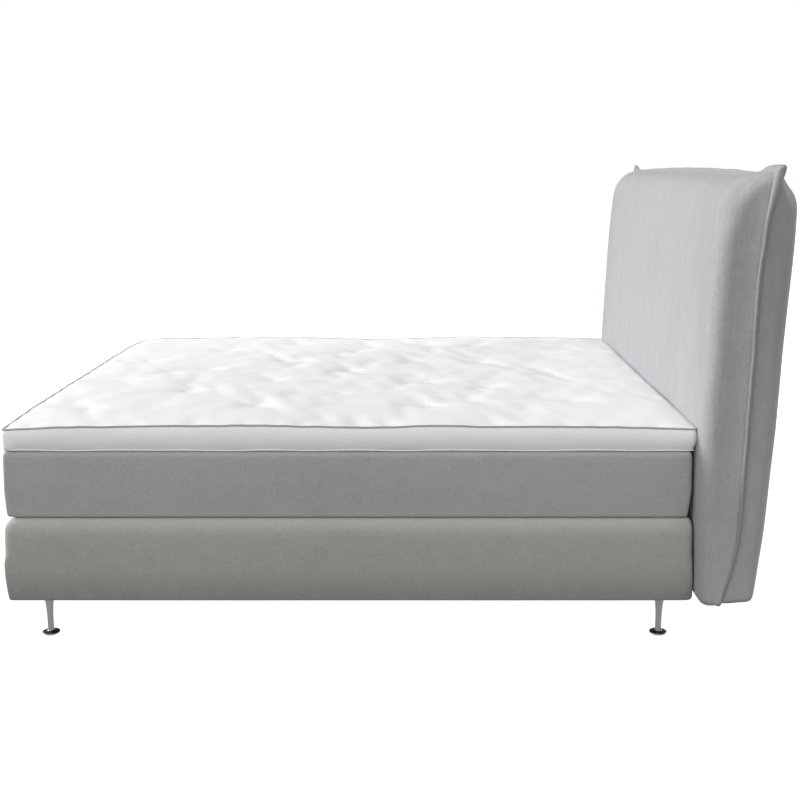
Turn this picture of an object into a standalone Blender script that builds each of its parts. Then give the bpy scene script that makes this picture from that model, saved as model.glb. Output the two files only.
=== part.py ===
"""Box spring bed, 180 x 200 cm, with a pillow-shaped headboard.

Frame: metres, +Z up, +Y from the foot end to the headboard, +X to the right
of someone who stands at the foot end and looks at the headboard. The origin
is on the floor, under the middle of the whole bed. LEFT is -X, RIGHT is +X.
"""
import bpy
import bmesh
import numpy as np
from math import sin, cos, pi, atan, sqrt
from mathutils import Vector, Matrix

for ob in list(bpy.data.objects):
    bpy.data.objects.remove(ob, do_unlink=True)

# ----------------------------------------------------------------- dimensions
GAP = 0.0004                 # running gap between pieces that touch

FOOT_Y = -1.1175             # foot end of the base box
BACK_Y = 1.1175              # rearmost point of the headboard
BASE_HALF_W = 0.905          # base box, outside of its fabric
BASE_HEAD_Y = 0.8955
BASE_Z0, BASE_Z1 = 0.1340, 0.3845
BASE_CLOTH = 0.004           # fabric with its wadding
BASE_ROUND = 0.025           # radius of the base box's edges

MAT_HALF_W = 0.900           # upper spring box (mattress)
MAT_Y0, MAT_Y1 = -1.1165, 0.8835
MAT_Z0, MAT_Z1 = 0.3850, 0.5865
MAT_CLOTH = 0.004
MAT_ROUND = 0.018

TOP_HALF_W = 0.900           # topper
TOP_Y0, TOP_Y1 = -1.1115, 0.8905
TOP_Z0, TOP_Z1 = 0.5870, 0.6570
TOP_CLOTH = 0.003
TOP_ROUND = 0.012
PIPE_R = 0.0035              # piping round the topper's upper edge
PIPE_LOW_R = 0.0025          # thinner piping round its lower edge

FRAME_HALF_W = 0.890         # timber frame of the base
FRAME_Y0, FRAME_Y1 = -1.1025, 0.8805
RAIL_T = 0.022
RAIL_Z0, RAIL_Z1 = 0.1356, 0.2256
BEAM_W = 0.045
SLAT_N, SLAT_W, SLAT_T = 6, 0.070, 0.018
BLOCK_SIDE = 0.078           # block in each corner that takes a leg
PAD_INSET = 0.032            # springs and pads stay clear of the rounded edges
SPRING_PITCH = 0.075         # one spring to the next

LEG_X = 0.832                # legs, from the middle
LEG_FOOT_Y, LEG_HEAD_Y = -1.0305, 0.8205
LEG_TOP = 0.1337
LEG_SHAFT_R = 0.0092
LEG_TOP_R = 0.0220           # where the trumpet meets the base
DISC_R, DISC_Z0, DISC_Z1 = 0.0260, 0.0033, 0.0078
GLIDE_R = 0.0215
STUD_R, STUD_TOP = 0.0040, 0.1750
BORE_R = STUD_R + GAP
CENTRE_LEG_Y = -0.111
CENTRE_LEG_R = 0.020

HB_HALF_W = 0.988            # headboard outline along its seam
HB_Z0, HB_Z1 = 0.157, 1.367
HB_R_TOP, HB_R_LOW = 0.075, 0.050
HB_CLOTH = 0.003
HB_WADDING = 0.006           # loose wadding between cover and filling
FLANGE_T = 0.004             # half of the sewn flange
FLANGE_HALF_W = 1.025        # flange tip, from the middle
FLANGE_Z0, FLANGE_Z1 = 0.147, 1.393
EAR_X, EAR_Z = 0.005, 0.010  # how far the flange's upper corners stand out
HB_NOMINAL = 0.108           # thickness that the cushion profile is drawn for

# Side view of the headboard: (height, place) pairs, read at any height by
# seam_y and by the two thickness functions below.
SEAM = ((0.140, 0.9515), (0.200, 0.9655), (0.280, 0.9865), (0.370, 0.9965),
        (0.470, 1.0015), (0.660, 1.0065), (0.900, 1.0105), (1.070, 1.0140),
        (1.160, 1.0195), (1.250, 1.0260), (1.315, 1.0395), (1.404, 1.0560))
FRONT_T = ((0.140, 0.064), (0.200, 0.069), (0.280, 0.088), (0.370, 0.098),
           (0.470, 0.102), (0.660, 0.108), (0.820, 0.106), (1.000, 0.099),
           (1.160, 0.096), (1.404, 0.094))
BACK_T = ((0.140, 0.106), (0.200, 0.097), (0.280, 0.085), (0.370, 0.082),
          (0.470, 0.082), (0.660, 0.091), (0.900, 0.0945), (1.070, 0.0965),
          (1.200, 0.0945), (1.315, 0.082), (1.404, 0.074))
# Section through one cushion's edge: distance outward from the seam outline,
# and depth from the seam, for a cushion HB_NOMINAL thick.
EDGE = ((-0.004, 0.004), (0.006, 0.012), (0.012, 0.028), (0.012, 0.050),
        (0.008, 0.070), (-0.004, 0.088), (-0.022, 0.100), (-0.050, 0.1055),
        (-0.300, 0.1078))

HB_FRAME_Y, HB_FRAME_Z = 0.953, 0.167     # lower front edge of its timber frame
HB_LEAN = 0.0402                          # rise of the frame's plane in Y per Z
HB_FRAME_T = 0.042
HB_FRAME_HALF_W = 0.940
HB_PANEL_T = 0.006
BRACKET_X, BRACKET_W, BRACKET_T = 0.550, 0.040, 0.005
BRACKET_Z = 0.1337                        # upper face under the base
BRACKET_Z_HIGH = 0.1432                   # upper face under the headboard
BASE_BOLT_Y, HB_BOLT_Y = 0.8695, 0.9770

RING_EDGE, RING_SIDE, RING_CORNER = 5, 5, 3


# ------------------------------------------------------------------ materials
def finish(name, rgb, rough, metal=0.0):
    m = bpy.data.materials.new(name)
    m.use_nodes = True
    b = m.node_tree.nodes["Principled BSDF"]
    b.inputs["Base Color"].default_value = (*rgb, 1.0)
    b.inputs["Roughness"].default_value = rough
    b.inputs["Metallic"].default_value = metal
    m.diffuse_color = (*rgb, 1.0)
    return m


GREY_FABRIC = finish("grey_fabric", (0.30, 0.29, 0.28), 0.92)
WHITE_FABRIC = finish("white_fabric", (0.86, 0.86, 0.86), 0.90)
PIPING = finish("grey_piping", (0.33, 0.33, 0.33), 0.80)
LINING = finish("black_lining", (0.03, 0.03, 0.03), 0.95)
FOAM = finish("foam", (0.82, 0.80, 0.72), 0.95)
SPRING = finish("spring_pockets", (0.88, 0.88, 0.86), 0.90)
TIMBER = finish("timber", (0.62, 0.45, 0.27), 0.70)
PLY = finish("plywood", (0.66, 0.50, 0.32), 0.70)
CHROME = finish("satin_chrome", (0.62, 0.62, 0.63), 0.22, 1.0)
STEEL = finish("zinc_steel", (0.55, 0.56, 0.58), 0.35, 1.0)
PLASTIC = finish("black_plastic", (0.04, 0.04, 0.04), 0.50)


# -------------------------------------------------------------------- helpers
def put(name, bm, material, smooth=None):
    """One object from a bmesh; smooth gives the angle kept sharp, in radians."""
    bmesh.ops.recalc_face_normals(bm, faces=bm.faces)
    me = bpy.data.meshes.new(name)
    bm.to_mesh(me)
    bm.free()
    if smooth is not None:
        me.shade_smooth()
        me.set_sharp_from_angle(angle=smooth)
    me.materials.append(material)
    ob = bpy.data.objects.new(name, me)
    bpy.context.scene.collection.objects.link(ob)
    return ob


def cuboid(lo, hi):
    bm = bmesh.new()
    size = [b - a for a, b in zip(lo, hi)]
    mid = [(a + b) / 2 for a, b in zip(lo, hi)]
    bmesh.ops.create_cube(bm, size=1.0, matrix=Matrix.Translation(mid) @ Matrix.Diagonal((*size, 1.0)))
    return bm


def block(name, lo, hi, material, parent=None, bevel=0.0):
    """A sawn or cut piece with square faces, with its edges eased by bevel."""
    mid = Vector([(a + b) / 2 for a, b in zip(lo, hi)])
    bm = cuboid([a - m for a, m in zip(lo, mid)], [b - m for b, m in zip(hi, mid)])
    ob = put(name, bm, material)
    ob.location = mid
    if parent:
        ob.parent = parent
    if bevel:
        mod = ob.modifiers.new("eased_edges", "BEVEL")
        mod.width = bevel
        mod.segments = 1
    return ob


def case(name, lo, hi, radius, cloth, material):
    """A fabric case: four sides and a top in one rounded shell, open below."""
    mid = Vector([(a + b) / 2 for a, b in zip(lo, hi)])
    bm = cuboid([a - m for a, m in zip(lo, mid)], [b - m for b, m in zip(hi, mid)])
    low = min(bm.faces, key=lambda f: f.calc_center_median().z)
    rim = set(low.edges)
    bmesh.ops.delete(bm, geom=[low], context="FACES_ONLY")
    bmesh.ops.bevel(bm, geom=[e for e in bm.edges if e not in rim], offset=radius,
                    offset_type="OFFSET", segments=3, profile=0.5, affect="EDGES")
    ob = put(name, bm, material, smooth=0.6)
    ob.location = mid
    mod = ob.modifiers.new("cloth", "SOLIDIFY")
    mod.thickness = cloth
    mod.offset = -1.0
    return ob


def turned(name, profile, material, at, steps=20):
    """A piece turned about its upright axis; the profile runs from the upper
    end of the axis, down the outside, to its lower end, as (radius, height)."""
    me = bpy.data.meshes.new(name)
    me.from_pydata([(r, 0.0, z) for r, z in profile], [(i, i + 1) for i in range(len(profile) - 1)], [])
    me.materials.append(material)
    ob = bpy.data.objects.new(name, me)
    bpy.context.scene.collection.objects.link(ob)
    ob.location = at
    mod = ob.modifiers.new("turned", "SCREW")
    mod.axis = "Z"
    mod.angle = 2 * pi
    mod.steps = mod.render_steps = steps
    mod.use_merge_vertices = True
    mod.merge_threshold = 0.00005
    mod.use_smooth_shade = True
    return ob


def drill(ob, at, radius, z0, z1, steps=16):
    """An upright hole through ob, by a cylinder that is only a guide."""
    bm = bmesh.new()
    bmesh.ops.create_cone(bm, cap_ends=True, segments=steps, radius1=radius, radius2=radius, depth=z1 - z0)
    bmesh.ops.recalc_face_normals(bm, faces=bm.faces)
    me = bpy.data.meshes.new("drill")
    bm.to_mesh(me)
    bm.free()
    tool = bpy.data.objects.new("drill_guide", me)
    bpy.context.scene.collection.objects.link(tool)
    tool.location = (at[0], at[1], (z0 + z1) / 2)
    tool.hide_render = True
    tool.display_type = "WIRE"
    mod = ob.modifiers.new("hole", "BOOLEAN")
    mod.operation = "DIFFERENCE"
    mod.object = tool
    return ob


def read(table, z):
    return float(np.interp(z, [p[0] for p in table], [p[1] for p in table]))


# ----------------------------------------------------------------------- legs
def leg_radius(z):
    """Slim shaft that opens into a trumpet under the base."""
    if z < 0.050:
        return LEG_SHAFT_R
    t = (z - 0.050) / (LEG_TOP - 0.050)
    return LEG_SHAFT_R + (LEG_TOP_R - LEG_SHAFT_R) * t ** 1.6


def leg_profile():
    bore_floor = LEG_TOP - 0.025
    pts = [(0.0, bore_floor), (BORE_R, bore_floor), (BORE_R, LEG_TOP), (LEG_TOP_R, LEG_TOP)]
    for i in range(1, 8):
        z = LEG_TOP - (LEG_TOP - 0.050) * i / 7
        pts.append((leg_radius(z), z))
    pts += [(LEG_SHAFT_R, 0.0150), (LEG_SHAFT_R + 0.0012, 0.0108), (LEG_SHAFT_R + 0.005, 0.0088),
            (DISC_R - 0.001, DISC_Z1), (DISC_R, DISC_Z1 - 0.001), (DISC_R, DISC_Z0), (0.0, DISC_Z0)]
    return pts


def centre_leg_profile():
    return [(0.0, STUD_TOP), (STUD_R, STUD_TOP), (STUD_R, LEG_TOP), (CENTRE_LEG_R, LEG_TOP),
            (CENTRE_LEG_R, 0.0045), (0.0, 0.0045)]


LEGS = {"foot_left": (-LEG_X, LEG_FOOT_Y), "foot_right": (LEG_X, LEG_FOOT_Y),
        "head_left": (-LEG_X, LEG_HEAD_Y), "head_right": (LEG_X, LEG_HEAD_Y)}
for place, (x, y) in LEGS.items():
    turned("leg_" + place, leg_profile(), CHROME, (x, y, 0.0), steps=24)
    turned("leg_stud_" + place, [(0.0, STUD_TOP), (STUD_R, STUD_TOP), (STUD_R, LEG_TOP - 0.0246), (0.0, LEG_TOP - 0.0246)],
           STEEL, (x, y, 0.0), steps=12)
    turned("leg_glide_" + place, [(0.0, DISC_Z0 - 0.0003), (GLIDE_R, DISC_Z0 - 0.0003), (GLIDE_R, 0.0), (0.0, 0.0)],
           PLASTIC, (x, y, 0.0), steps=16)
turned("centre_leg", centre_leg_profile(), PLASTIC, (0.0, CENTRE_LEG_Y, 0.0), steps=20)
turned("centre_leg_glide", [(0.0, 0.0041), (CENTRE_LEG_R, 0.0041), (CENTRE_LEG_R, 0.0), (0.0, 0.0)],
       PLASTIC, (0.0, CENTRE_LEG_Y, 0.0), steps=16)

# ----------------------------------------------------- base box, timber frame
for side, name in ((-1, "left"), (1, "right")):
    xs = sorted((side * FRAME_HALF_W, side * (FRAME_HALF_W - RAIL_T)))
    block("base_side_rail_" + name, (xs[0], FRAME_Y0, RAIL_Z0), (xs[1], FRAME_Y1, RAIL_Z1), TIMBER)
IN_X = FRAME_HALF_W - RAIL_T - GAP
foot_rail = block("base_foot_rail", (-IN_X, FRAME_Y0, RAIL_Z0), (IN_X, FRAME_Y0 + RAIL_T, RAIL_Z1), TIMBER)
head_rail = block("base_head_rail", (-IN_X, FRAME_Y1 - RAIL_T, RAIL_Z0), (IN_X, FRAME_Y1, RAIL_Z1), TIMBER)
beam = block("base_centre_beam", (-BEAM_W / 2, FRAME_Y0 + RAIL_T + GAP, RAIL_Z0),
             (BEAM_W / 2, FRAME_Y1 - RAIL_T - GAP, RAIL_Z1), TIMBER)
drill(beam, (0.0, CENTRE_LEG_Y), BORE_R, RAIL_Z0 - 0.01, STUD_TOP + 0.002)

for place, (x, y) in LEGS.items():
    s = 1 if x > 0 else -1
    xs = sorted((s * IN_X, s * (IN_X - BLOCK_SIDE)))
    if y < 0:
        y0 = FRAME_Y0 + RAIL_T + GAP
        ys = (y0, y0 + BLOCK_SIDE)
    else:
        y1 = FRAME_Y1 - RAIL_T - GAP
        ys = (y1 - BLOCK_SIDE, y1)
    corner = block("base_leg_block_" + place, (xs[0], ys[0], RAIL_Z0), (xs[1], ys[1], RAIL_Z1), TIMBER)
    drill(corner, (x, y), BORE_R, RAIL_Z0 - 0.01, STUD_TOP + 0.002)

SLAT_Z0 = RAIL_Z1 + GAP
for i in range(SLAT_N):
    y = FRAME_Y0 + 0.12 + (FRAME_Y1 - FRAME_Y0 - 0.24) * i / (SLAT_N - 1)
    block("base_slat_%d" % (i + 1), (-FRAME_HALF_W + 0.005, y - SLAT_W / 2, SLAT_Z0),
          (FRAME_HALF_W - 0.005, y + SLAT_W / 2, SLAT_Z0 + SLAT_T), TIMBER)


# ------------------------------------------------------- springs, foam, cases
def spring_unit(name, half_w, y0, y1, z0, z1):
    """A slab of glued spring pockets: its outline bulges at every pocket."""
    nx = round(2 * half_w / SPRING_PITCH)
    ny = round((y1 - y0) / SPRING_PITCH)
    bulge = 0.010
    pts = []

    def run(ax, ay, bx, by, n):
        dx, dy = (bx - ax) / n, (by - ay) / n
        length = sqrt(dx * dx + dy * dy)
        nxn, nyn = dy / length, -dx / length
        for i in range(n):
            for k in range(3):
                t = k / 3
                out = -bulge + bulge * sin(pi * t) ** 0.7 if k else -bulge
                pts.append((ax + dx * (i + t) + nxn * out, ay + dy * (i + t) + nyn * out))

    e = bulge
    run(-half_w + e, y0, half_w - e, y0, nx)
    run(half_w, y0 + e, half_w, y1 - e, ny)
    run(half_w - e, y1, -half_w + e, y1, nx)
    run(-half_w, y1 - e, -half_w, y0 + e, ny)
    bm = bmesh.new()
    face = bm.faces.new([bm.verts.new((x, y, z0)) for x, y in pts])
    up = bmesh.ops.extrude_face_region(bm, geom=[face])
    bmesh.ops.translate(bm, vec=(0, 0, z1 - z0), verts=[v for v in up["geom"] if isinstance(v, bmesh.types.BMVert)])
    return put(name, bm, SPRING)


def outline_xy(half_w, y0, y1, r, corner=3):
    pts = []
    for cx, cy, a0 in ((half_w - r, y0 + r, -pi / 2), (half_w - r, y1 - r, 0.0),
                       (-half_w + r, y1 - r, pi / 2), (-half_w + r, y0 + r, pi)):
        for k in range(corner + 1):
            a = a0 + pi / 2 * k / corner
            pts.append((cx + r * cos(a), cy + r * sin(a)))
    return pts


def piping(name, half_w, y0, y1, corner_r, z, radius, material):
    """A sewn cord that runs right round the case."""
    pts = outline_xy(half_w, y0, y1, corner_r, corner=4)
    n, m = len(pts), 6
    bm = bmesh.new()
    rings = []
    for i, (x, y) in enumerate(pts):
        px, py = pts[i - 1]
        qx, qy = pts[(i + 1) % n]
        t = Vector((qx - px, qy - py, 0)).normalized()
        out = Vector((t.y, -t.x, 0))
        rings.append([bm.verts.new(Vector((x, y, z)) + radius * (cos(2 * pi * k / m) * out + sin(2 * pi * k / m) * Vector((0, 0, 1))))
                      for k in range(m)])
    for i in range(n):
        a, b = rings[i], rings[(i + 1) % n]
        for k in range(m):
            bm.faces.new((a[k], a[(k + 1) % m], b[(k + 1) % m], b[k]))
    return put(name, bm, material, smooth=1.2)


PAD_HALF_W = BASE_HALF_W - PAD_INSET
CORE_Z0 = SLAT_Z0 + SLAT_T + GAP
BASE_PAD_Z = BASE_Z1 - 0.023
spring_unit("base_spring_unit", PAD_HALF_W, FOOT_Y + PAD_INSET, BASE_HEAD_Y - PAD_INSET, CORE_Z0, BASE_PAD_Z - GAP)
block("base_top_pad", (-PAD_HALF_W, FOOT_Y + PAD_INSET, BASE_PAD_Z),
      (PAD_HALF_W, BASE_HEAD_Y - PAD_INSET, BASE_Z1 - BASE_CLOTH - GAP), FOAM)
case("base_cover", (-BASE_HALF_W, FOOT_Y, BASE_Z0), (BASE_HALF_W, BASE_HEAD_Y, BASE_Z1),
     BASE_ROUND, BASE_CLOTH, GREY_FABRIC)
dust = block("base_dust_cover", (-FRAME_HALF_W, FRAME_Y0, BASE_Z0 + 0.0002), (FRAME_HALF_W, FRAME_Y1, BASE_Z0 + 0.0012), LINING)
for x, y in list(LEGS.values()) + [(0.0, CENTRE_LEG_Y), (-BRACKET_X, BASE_BOLT_Y), (BRACKET_X, BASE_BOLT_Y)]:
    drill(dust, (x, y), 0.0065, BASE_Z0 - 0.01, BASE_Z0 + 0.01, steps=12)

MW = MAT_HALF_W - 0.022
MY0, MY1 = MAT_Y0 + 0.022, MAT_Y1 - 0.022
MAT_PAD_Z = MAT_Z1 - 0.0255
case("mattress_cover", (-MAT_HALF_W, MAT_Y0, MAT_Z0), (MAT_HALF_W, MAT_Y1, MAT_Z1), MAT_ROUND, MAT_CLOTH, GREY_FABRIC)
block("mattress_bottom_cloth", (-MAT_HALF_W + 0.010, MAT_Y0 + 0.010, MAT_Z0), (MAT_HALF_W - 0.010, MAT_Y1 - 0.010, MAT_Z0 + 0.0012), LINING)
EDGE_FOAM_W = 0.060
bm = bmesh.new()
outer = [bm.verts.new((x, y, 0)) for x, y in ((-MW, MY0), (MW, MY0), (MW, MY1), (-MW, MY1))]
inner = [bm.verts.new((x, y, 0)) for x, y in ((-MW + EDGE_FOAM_W, MY0 + EDGE_FOAM_W), (MW - EDGE_FOAM_W, MY0 + EDGE_FOAM_W),
                                               (MW - EDGE_FOAM_W, MY1 - EDGE_FOAM_W), (-MW + EDGE_FOAM_W, MY1 - EDGE_FOAM_W))]
flat = [bm.faces.new((outer[i], outer[(i + 1) % 4], inner[(i + 1) % 4], inner[i])) for i in range(4)]
up = bmesh.ops.extrude_face_region(bm, geom=flat)
EDGE_FOAM_Z0 = MAT_Z0 + 0.0016
bmesh.ops.translate(bm, vec=(0, 0, MAT_PAD_Z - GAP - EDGE_FOAM_Z0), verts=[v for v in up["geom"] if isinstance(v, bmesh.types.BMVert)])
put("mattress_edge_foam", bm, FOAM).location.z = EDGE_FOAM_Z0
spring_unit("mattress_spring_unit", MW - EDGE_FOAM_W - 0.001, MY0 + EDGE_FOAM_W + 0.001, MY1 - EDGE_FOAM_W - 0.001,
            EDGE_FOAM_Z0, MAT_PAD_Z - GAP)
block("mattress_top_pad", (-MW, MY0, MAT_PAD_Z), (MW, MY1, MAT_Z1 - MAT_CLOTH - GAP), FOAM)

case("topper_cover", (-TOP_HALF_W, TOP_Y0, TOP_Z0), (TOP_HALF_W, TOP_Y1, TOP_Z1), TOP_ROUND, TOP_CLOTH, WHITE_FABRIC)
block("topper_bottom_cloth", (-TOP_HALF_W + 0.008, TOP_Y0 + 0.008, TOP_Z0), (TOP_HALF_W - 0.008, TOP_Y1 - 0.008, TOP_Z0 + 0.0012), WHITE_FABRIC)
block("topper_core", (-TOP_HALF_W + 0.014, TOP_Y0 + 0.014, TOP_Z0 + 0.0016),
      (TOP_HALF_W - 0.014, TOP_Y1 - 0.014, TOP_Z1 - TOP_CLOTH - GAP), FOAM)
lift = (TOP_ROUND + PIPE_R + 2 * GAP) * sqrt(0.5) - TOP_ROUND
piping("topper_piping_top", TOP_HALF_W + lift, TOP_Y0 - lift, TOP_Y1 + lift, TOP_ROUND + lift, TOP_Z1 + lift, PIPE_R, PIPING)
low = PIPE_LOW_R + 2 * GAP
piping("topper_piping_bottom", TOP_HALF_W + low, TOP_Y0 - low, TOP_Y1 + low, TOP_ROUND + low, TOP_Z0 + PIPE_LOW_R + 0.001, PIPE_LOW_R, WHITE_FABRIC)


# ------------------------------------------------------------------ headboard
def seam_y(z):
    return read(SEAM, z)


def plane_y(z):
    """Front plane of the headboard's timber frame."""
    return HB_FRAME_Y + (z - HB_FRAME_Z) * HB_LEAN


def outline(half_w, z0, z1, r_top, r_low):
    """Rounded rectangle as (x, z), from the lower left, seen from the front."""
    pts = []

    def edge(ax, az, bx, bz, n):
        for i in range(n):
            t = i / n
            pts.append((ax + (bx - ax) * t, az + (bz - az) * t))

    def corner(cx, cz, r, a0):
        for k in range(RING_CORNER):
            a = a0 + pi / 2 * k / RING_CORNER
            pts.append((cx + r * cos(a), cz + r * sin(a)))

    edge(-half_w + r_low, z0, half_w - r_low, z0, RING_EDGE)
    corner(half_w - r_low, z0 + r_low, r_low, -pi / 2)
    edge(half_w, z0 + r_low, half_w, z1 - r_top, RING_SIDE)
    corner(half_w - r_top, z1 - r_top, r_top, 0.0)
    edge(half_w - r_top, z1, -half_w + r_top, z1, RING_EDGE)
    corner(-half_w + r_top, z1 - r_top, r_top, pi / 2)
    edge(-half_w, z1 - r_top, -half_w, z0 + r_low, RING_SIDE)
    corner(-half_w + r_low, z0 + r_low, r_low, pi)
    return pts


def ring_xz(out):
    """The seam's outline moved outward by out, with softer corners inside."""
    soft = max(0.0, -out) * 0.4
    return outline(HB_HALF_W + out, HB_Z0 - out, HB_Z1 + out, HB_R_TOP + soft, HB_R_LOW + soft)


def flange_xz():
    """The flange's tip: wide on the sides, narrow below, eared above."""
    pts = []
    for x, z in outline(FLANGE_HALF_W, FLANGE_Z0, FLANGE_Z1, 0.014, 0.040):
        grow = min(1.0, max(0.0, (z - 0.16) / 0.26))
        grow = grow * grow * (3 - 2 * grow)
        wide = (HB_HALF_W + 0.004) + (FLANGE_HALF_W - HB_HALF_W - 0.004) * grow
        x *= wide / FLANGE_HALF_W
        near = np.exp(-sqrt((abs(x) - FLANGE_HALF_W) ** 2 + (z - FLANGE_Z1) ** 2) / 0.05)
        pts.append((x + (EAR_X if x > 0 else -EAR_X) * near, z + EAR_Z * near))
    return pts


def edge_section(inward):
    """EDGE moved inward, square to itself, by a cloth's or a gap's thickness."""
    out = []
    for i, (s, d) in enumerate(EDGE):
        a = EDGE[max(0, i - 1)]
        b = EDGE[min(len(EDGE) - 1, i + 1)]
        ts, td = b[0] - a[0], b[1] - a[1]
        n = sqrt(ts * ts + td * td)
        out.append((s - td / n * inward, d + ts / n * inward))
    return out


def shell_y(z, d, side, table):
    """Y of a point d deep in a nominal cushion; side is -1 front, 1 back."""
    return seam_y(z) + side * d * read(table, z) / HB_NOMINAL


def rearmost(table):
    return max(shell_y(z, d, 1, table) for s, d in EDGE for x, z in ring_xz(s))


# The rear cushion's thickness is trimmed so that it ends at BACK_Y.
k_low, k_high = 0.9, 1.2
for step in range(40):
    k = (k_low + k_high) / 2
    if rearmost([(z, t * k) for z, t in BACK_T]) < BACK_Y:
        k_low = k
    else:
        k_high = k
BACK_T = tuple((z, t * k_low) for z, t in BACK_T)


def cushion_cover(name, side, table):
    """One half of the pillow cover: crowned face, rounded edge, its half of
    the sewn flange, and the open mouth at the seam."""
    bm = bmesh.new()
    rings = []

    def add(points):
        rings.append([bm.verts.new(p) for p in points])

    for s, d in reversed(EDGE):
        add([(x, shell_y(z, d, side, table), z) for x, z in ring_xz(s)])
    add([(x, seam_y(z) + side * FLANGE_T, z) for x, z in flange_xz()])
    add([(x, seam_y(z) + side * GAP / 2, z) for x, z in flange_xz()])
    inner = edge_section(HB_CLOTH)
    add([(x, seam_y(z) + side * GAP / 2, z) for x, z in ring_xz(inner[0][0] - 0.003)])
    for s, d in inner[1:]:
        add([(x, shell_y(z, d, side, table), z) for x, z in ring_xz(s)])
    for a, b in zip(rings, rings[1:]):
        n = len(a)
        for i in range(n):
            bm.faces.new((a[i], a[(i + 1) % n], b[(i + 1) % n], b[i]))
    zc = (HB_Z0 + HB_Z1) / 2
    for ring, d in ((rings[0], HB_NOMINAL), (rings[-1], HB_NOMINAL - HB_CLOTH)):
        tip = bm.verts.new((0.0, shell_y(zc, d, side, table), zc))
        n = len(ring)
        for i in range(n):
            bm.faces.new((ring[i], ring[(i + 1) % n], tip))
    return put(name, bm, GREY_FABRIC, smooth=0.9)


def cushion_pad(name, side, table):
    """The filling of one half: follows the cover inside, flat on the frame."""
    bm = bmesh.new()

    def back(z):
        return plane_y(z) - 0.0006 if side < 0 else plane_y(z) + HB_FRAME_T + 0.0006

    def clear(y, z):
        return min(y, back(z)) if side < 0 else max(y, back(z))

    section = edge_section(HB_CLOTH + HB_WADDING)
    rings = []
    for s, d in reversed(section[3:]):
        rings.append([bm.verts.new((x, clear(shell_y(z, d, side, table), z), z)) for x, z in ring_xz(s)])
    rings.append([bm.verts.new((x, back(z), z)) for x, z in ring_xz(-0.016)])
    for a, b in zip(rings, rings[1:]):
        n = len(a)
        for i in range(n):
            bm.faces.new((a[i], a[(i + 1) % n], b[(i + 1) % n], b[i]))
    zc = (HB_Z0 + HB_Z1) / 2
    tip = bm.verts.new((0.0, shell_y(zc, HB_NOMINAL - HB_CLOTH - HB_WADDING, side, table), zc))
    foot = bm.verts.new((0.0, back(zc), zc))
    n = len(rings[0])
    for i in range(n):
        bm.faces.new((rings[0][i], rings[0][(i + 1) % n], tip))
        bm.faces.new((rings[-1][i], rings[-1][(i + 1) % n], foot))
    return put(name, bm, FOAM, smooth=0.9)


front_cover = cushion_cover("headboard_front_cover", -1, FRONT_T)
back_cover = cushion_cover("headboard_back_cover", 1, BACK_T)
cushion_pad("headboard_front_pad", -1, FRONT_T)
cushion_pad("headboard_back_pad", 1, BACK_T)

# Foam that runs round the frame's edge, between the two pads.
bm = bmesh.new()
loops = []
inside = outline(HB_FRAME_HALF_W + 0.0025, 0.1760, 1.3340, 0.004, 0.004)
outside = ring_xz(-0.010)
for pts in (inside, outside):
    for dy in (0.0, HB_FRAME_T):
        loops.append([bm.verts.new((x, plane_y(z) + dy, z)) for x, z in pts])
order = [loops[0], loops[2], loops[3], loops[1]]
for j in range(4):
    a, b = order[j], order[(j + 1) % 4]
    n = len(a)
    for i in range(n):
        bm.faces.new((a[i], a[(i + 1) % n], b[(i + 1) % n], b[i]))
edge_pad = put("headboard_edge_pad", bm, FOAM)

# Timber frame, set square to its own leaning plane.
lean = bpy.data.objects.new("headboard_frame_axis", None)
bpy.context.scene.collection.objects.link(lean)
lean.location = (0.0, HB_FRAME_Y, HB_FRAME_Z)
lean.rotation_euler = (-atan(HB_LEAN), 0.0, 0.0)
T0, T1 = HB_PANEL_T + GAP, HB_FRAME_T - 0.0006
H0, H1 = 0.012, 1.165
STILE_W, RAIL_H = 0.070, 0.070
block("headboard_panel", (-HB_FRAME_HALF_W, 0.0004, H0), (HB_FRAME_HALF_W, HB_PANEL_T, H1), PLY, parent=lean)
for s, name in ((-1, "left"), (1, "right")):
    xs = sorted((s * HB_FRAME_HALF_W, s * (HB_FRAME_HALF_W - STILE_W)))
    block("headboard_upright_" + name, (xs[0], T0, H0), (xs[1], T1, H1), TIMBER, parent=lean)
RX = HB_FRAME_HALF_W - STILE_W - GAP
block("headboard_top_rail", (-RX, T0, H1 - RAIL_H), (RX, T1, H1), TIMBER, parent=lean)
block("headboard_middle_rail", (-RX, T0, 0.56), (RX, T1, 0.56 + RAIL_H), TIMBER, parent=lean)
low_rail = block("headboard_bottom_rail", (-RX, T0, H0), (RX, T1, H0 + 0.090), TIMBER, parent=lean)


# ------------------------------------------------- brackets under base and head
def bracket(name, x):
    """A flat steel bar with a set in it, so that it lies flat on both undersides."""
    lift = BRACKET_Z_HIGH - BRACKET_Z
    top = ((0.845, BRACKET_Z), (0.8975, BRACKET_Z), (0.9150, BRACKET_Z + lift), (1.000, BRACKET_Z + lift))
    low = [(y, z - BRACKET_T) for y, z in top]
    low[1] = (low[1][0] + 0.0022, low[1][1])
    low[2] = (low[2][0] + 0.0022, low[2][1])
    bm = bmesh.new()
    side = [bm.verts.new((-BRACKET_W / 2, y, z)) for y, z in list(top) + list(reversed(low))]
    face = bm.faces.new(side)
    got = bmesh.ops.extrude_face_region(bm, geom=[face])
    bmesh.ops.translate(bm, vec=(BRACKET_W, 0, 0), verts=[v for v in got["geom"] if isinstance(v, bmesh.types.BMVert)])
    ob = put(name, bm, STEEL)
    ob.location.x = x
    drill(ob, (x, BASE_BOLT_Y), BORE_R, 0.10, 0.16, steps=12)
    drill(ob, (x, HB_BOLT_Y), BORE_R, 0.10, 0.17, steps=12)
    return ob


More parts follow.
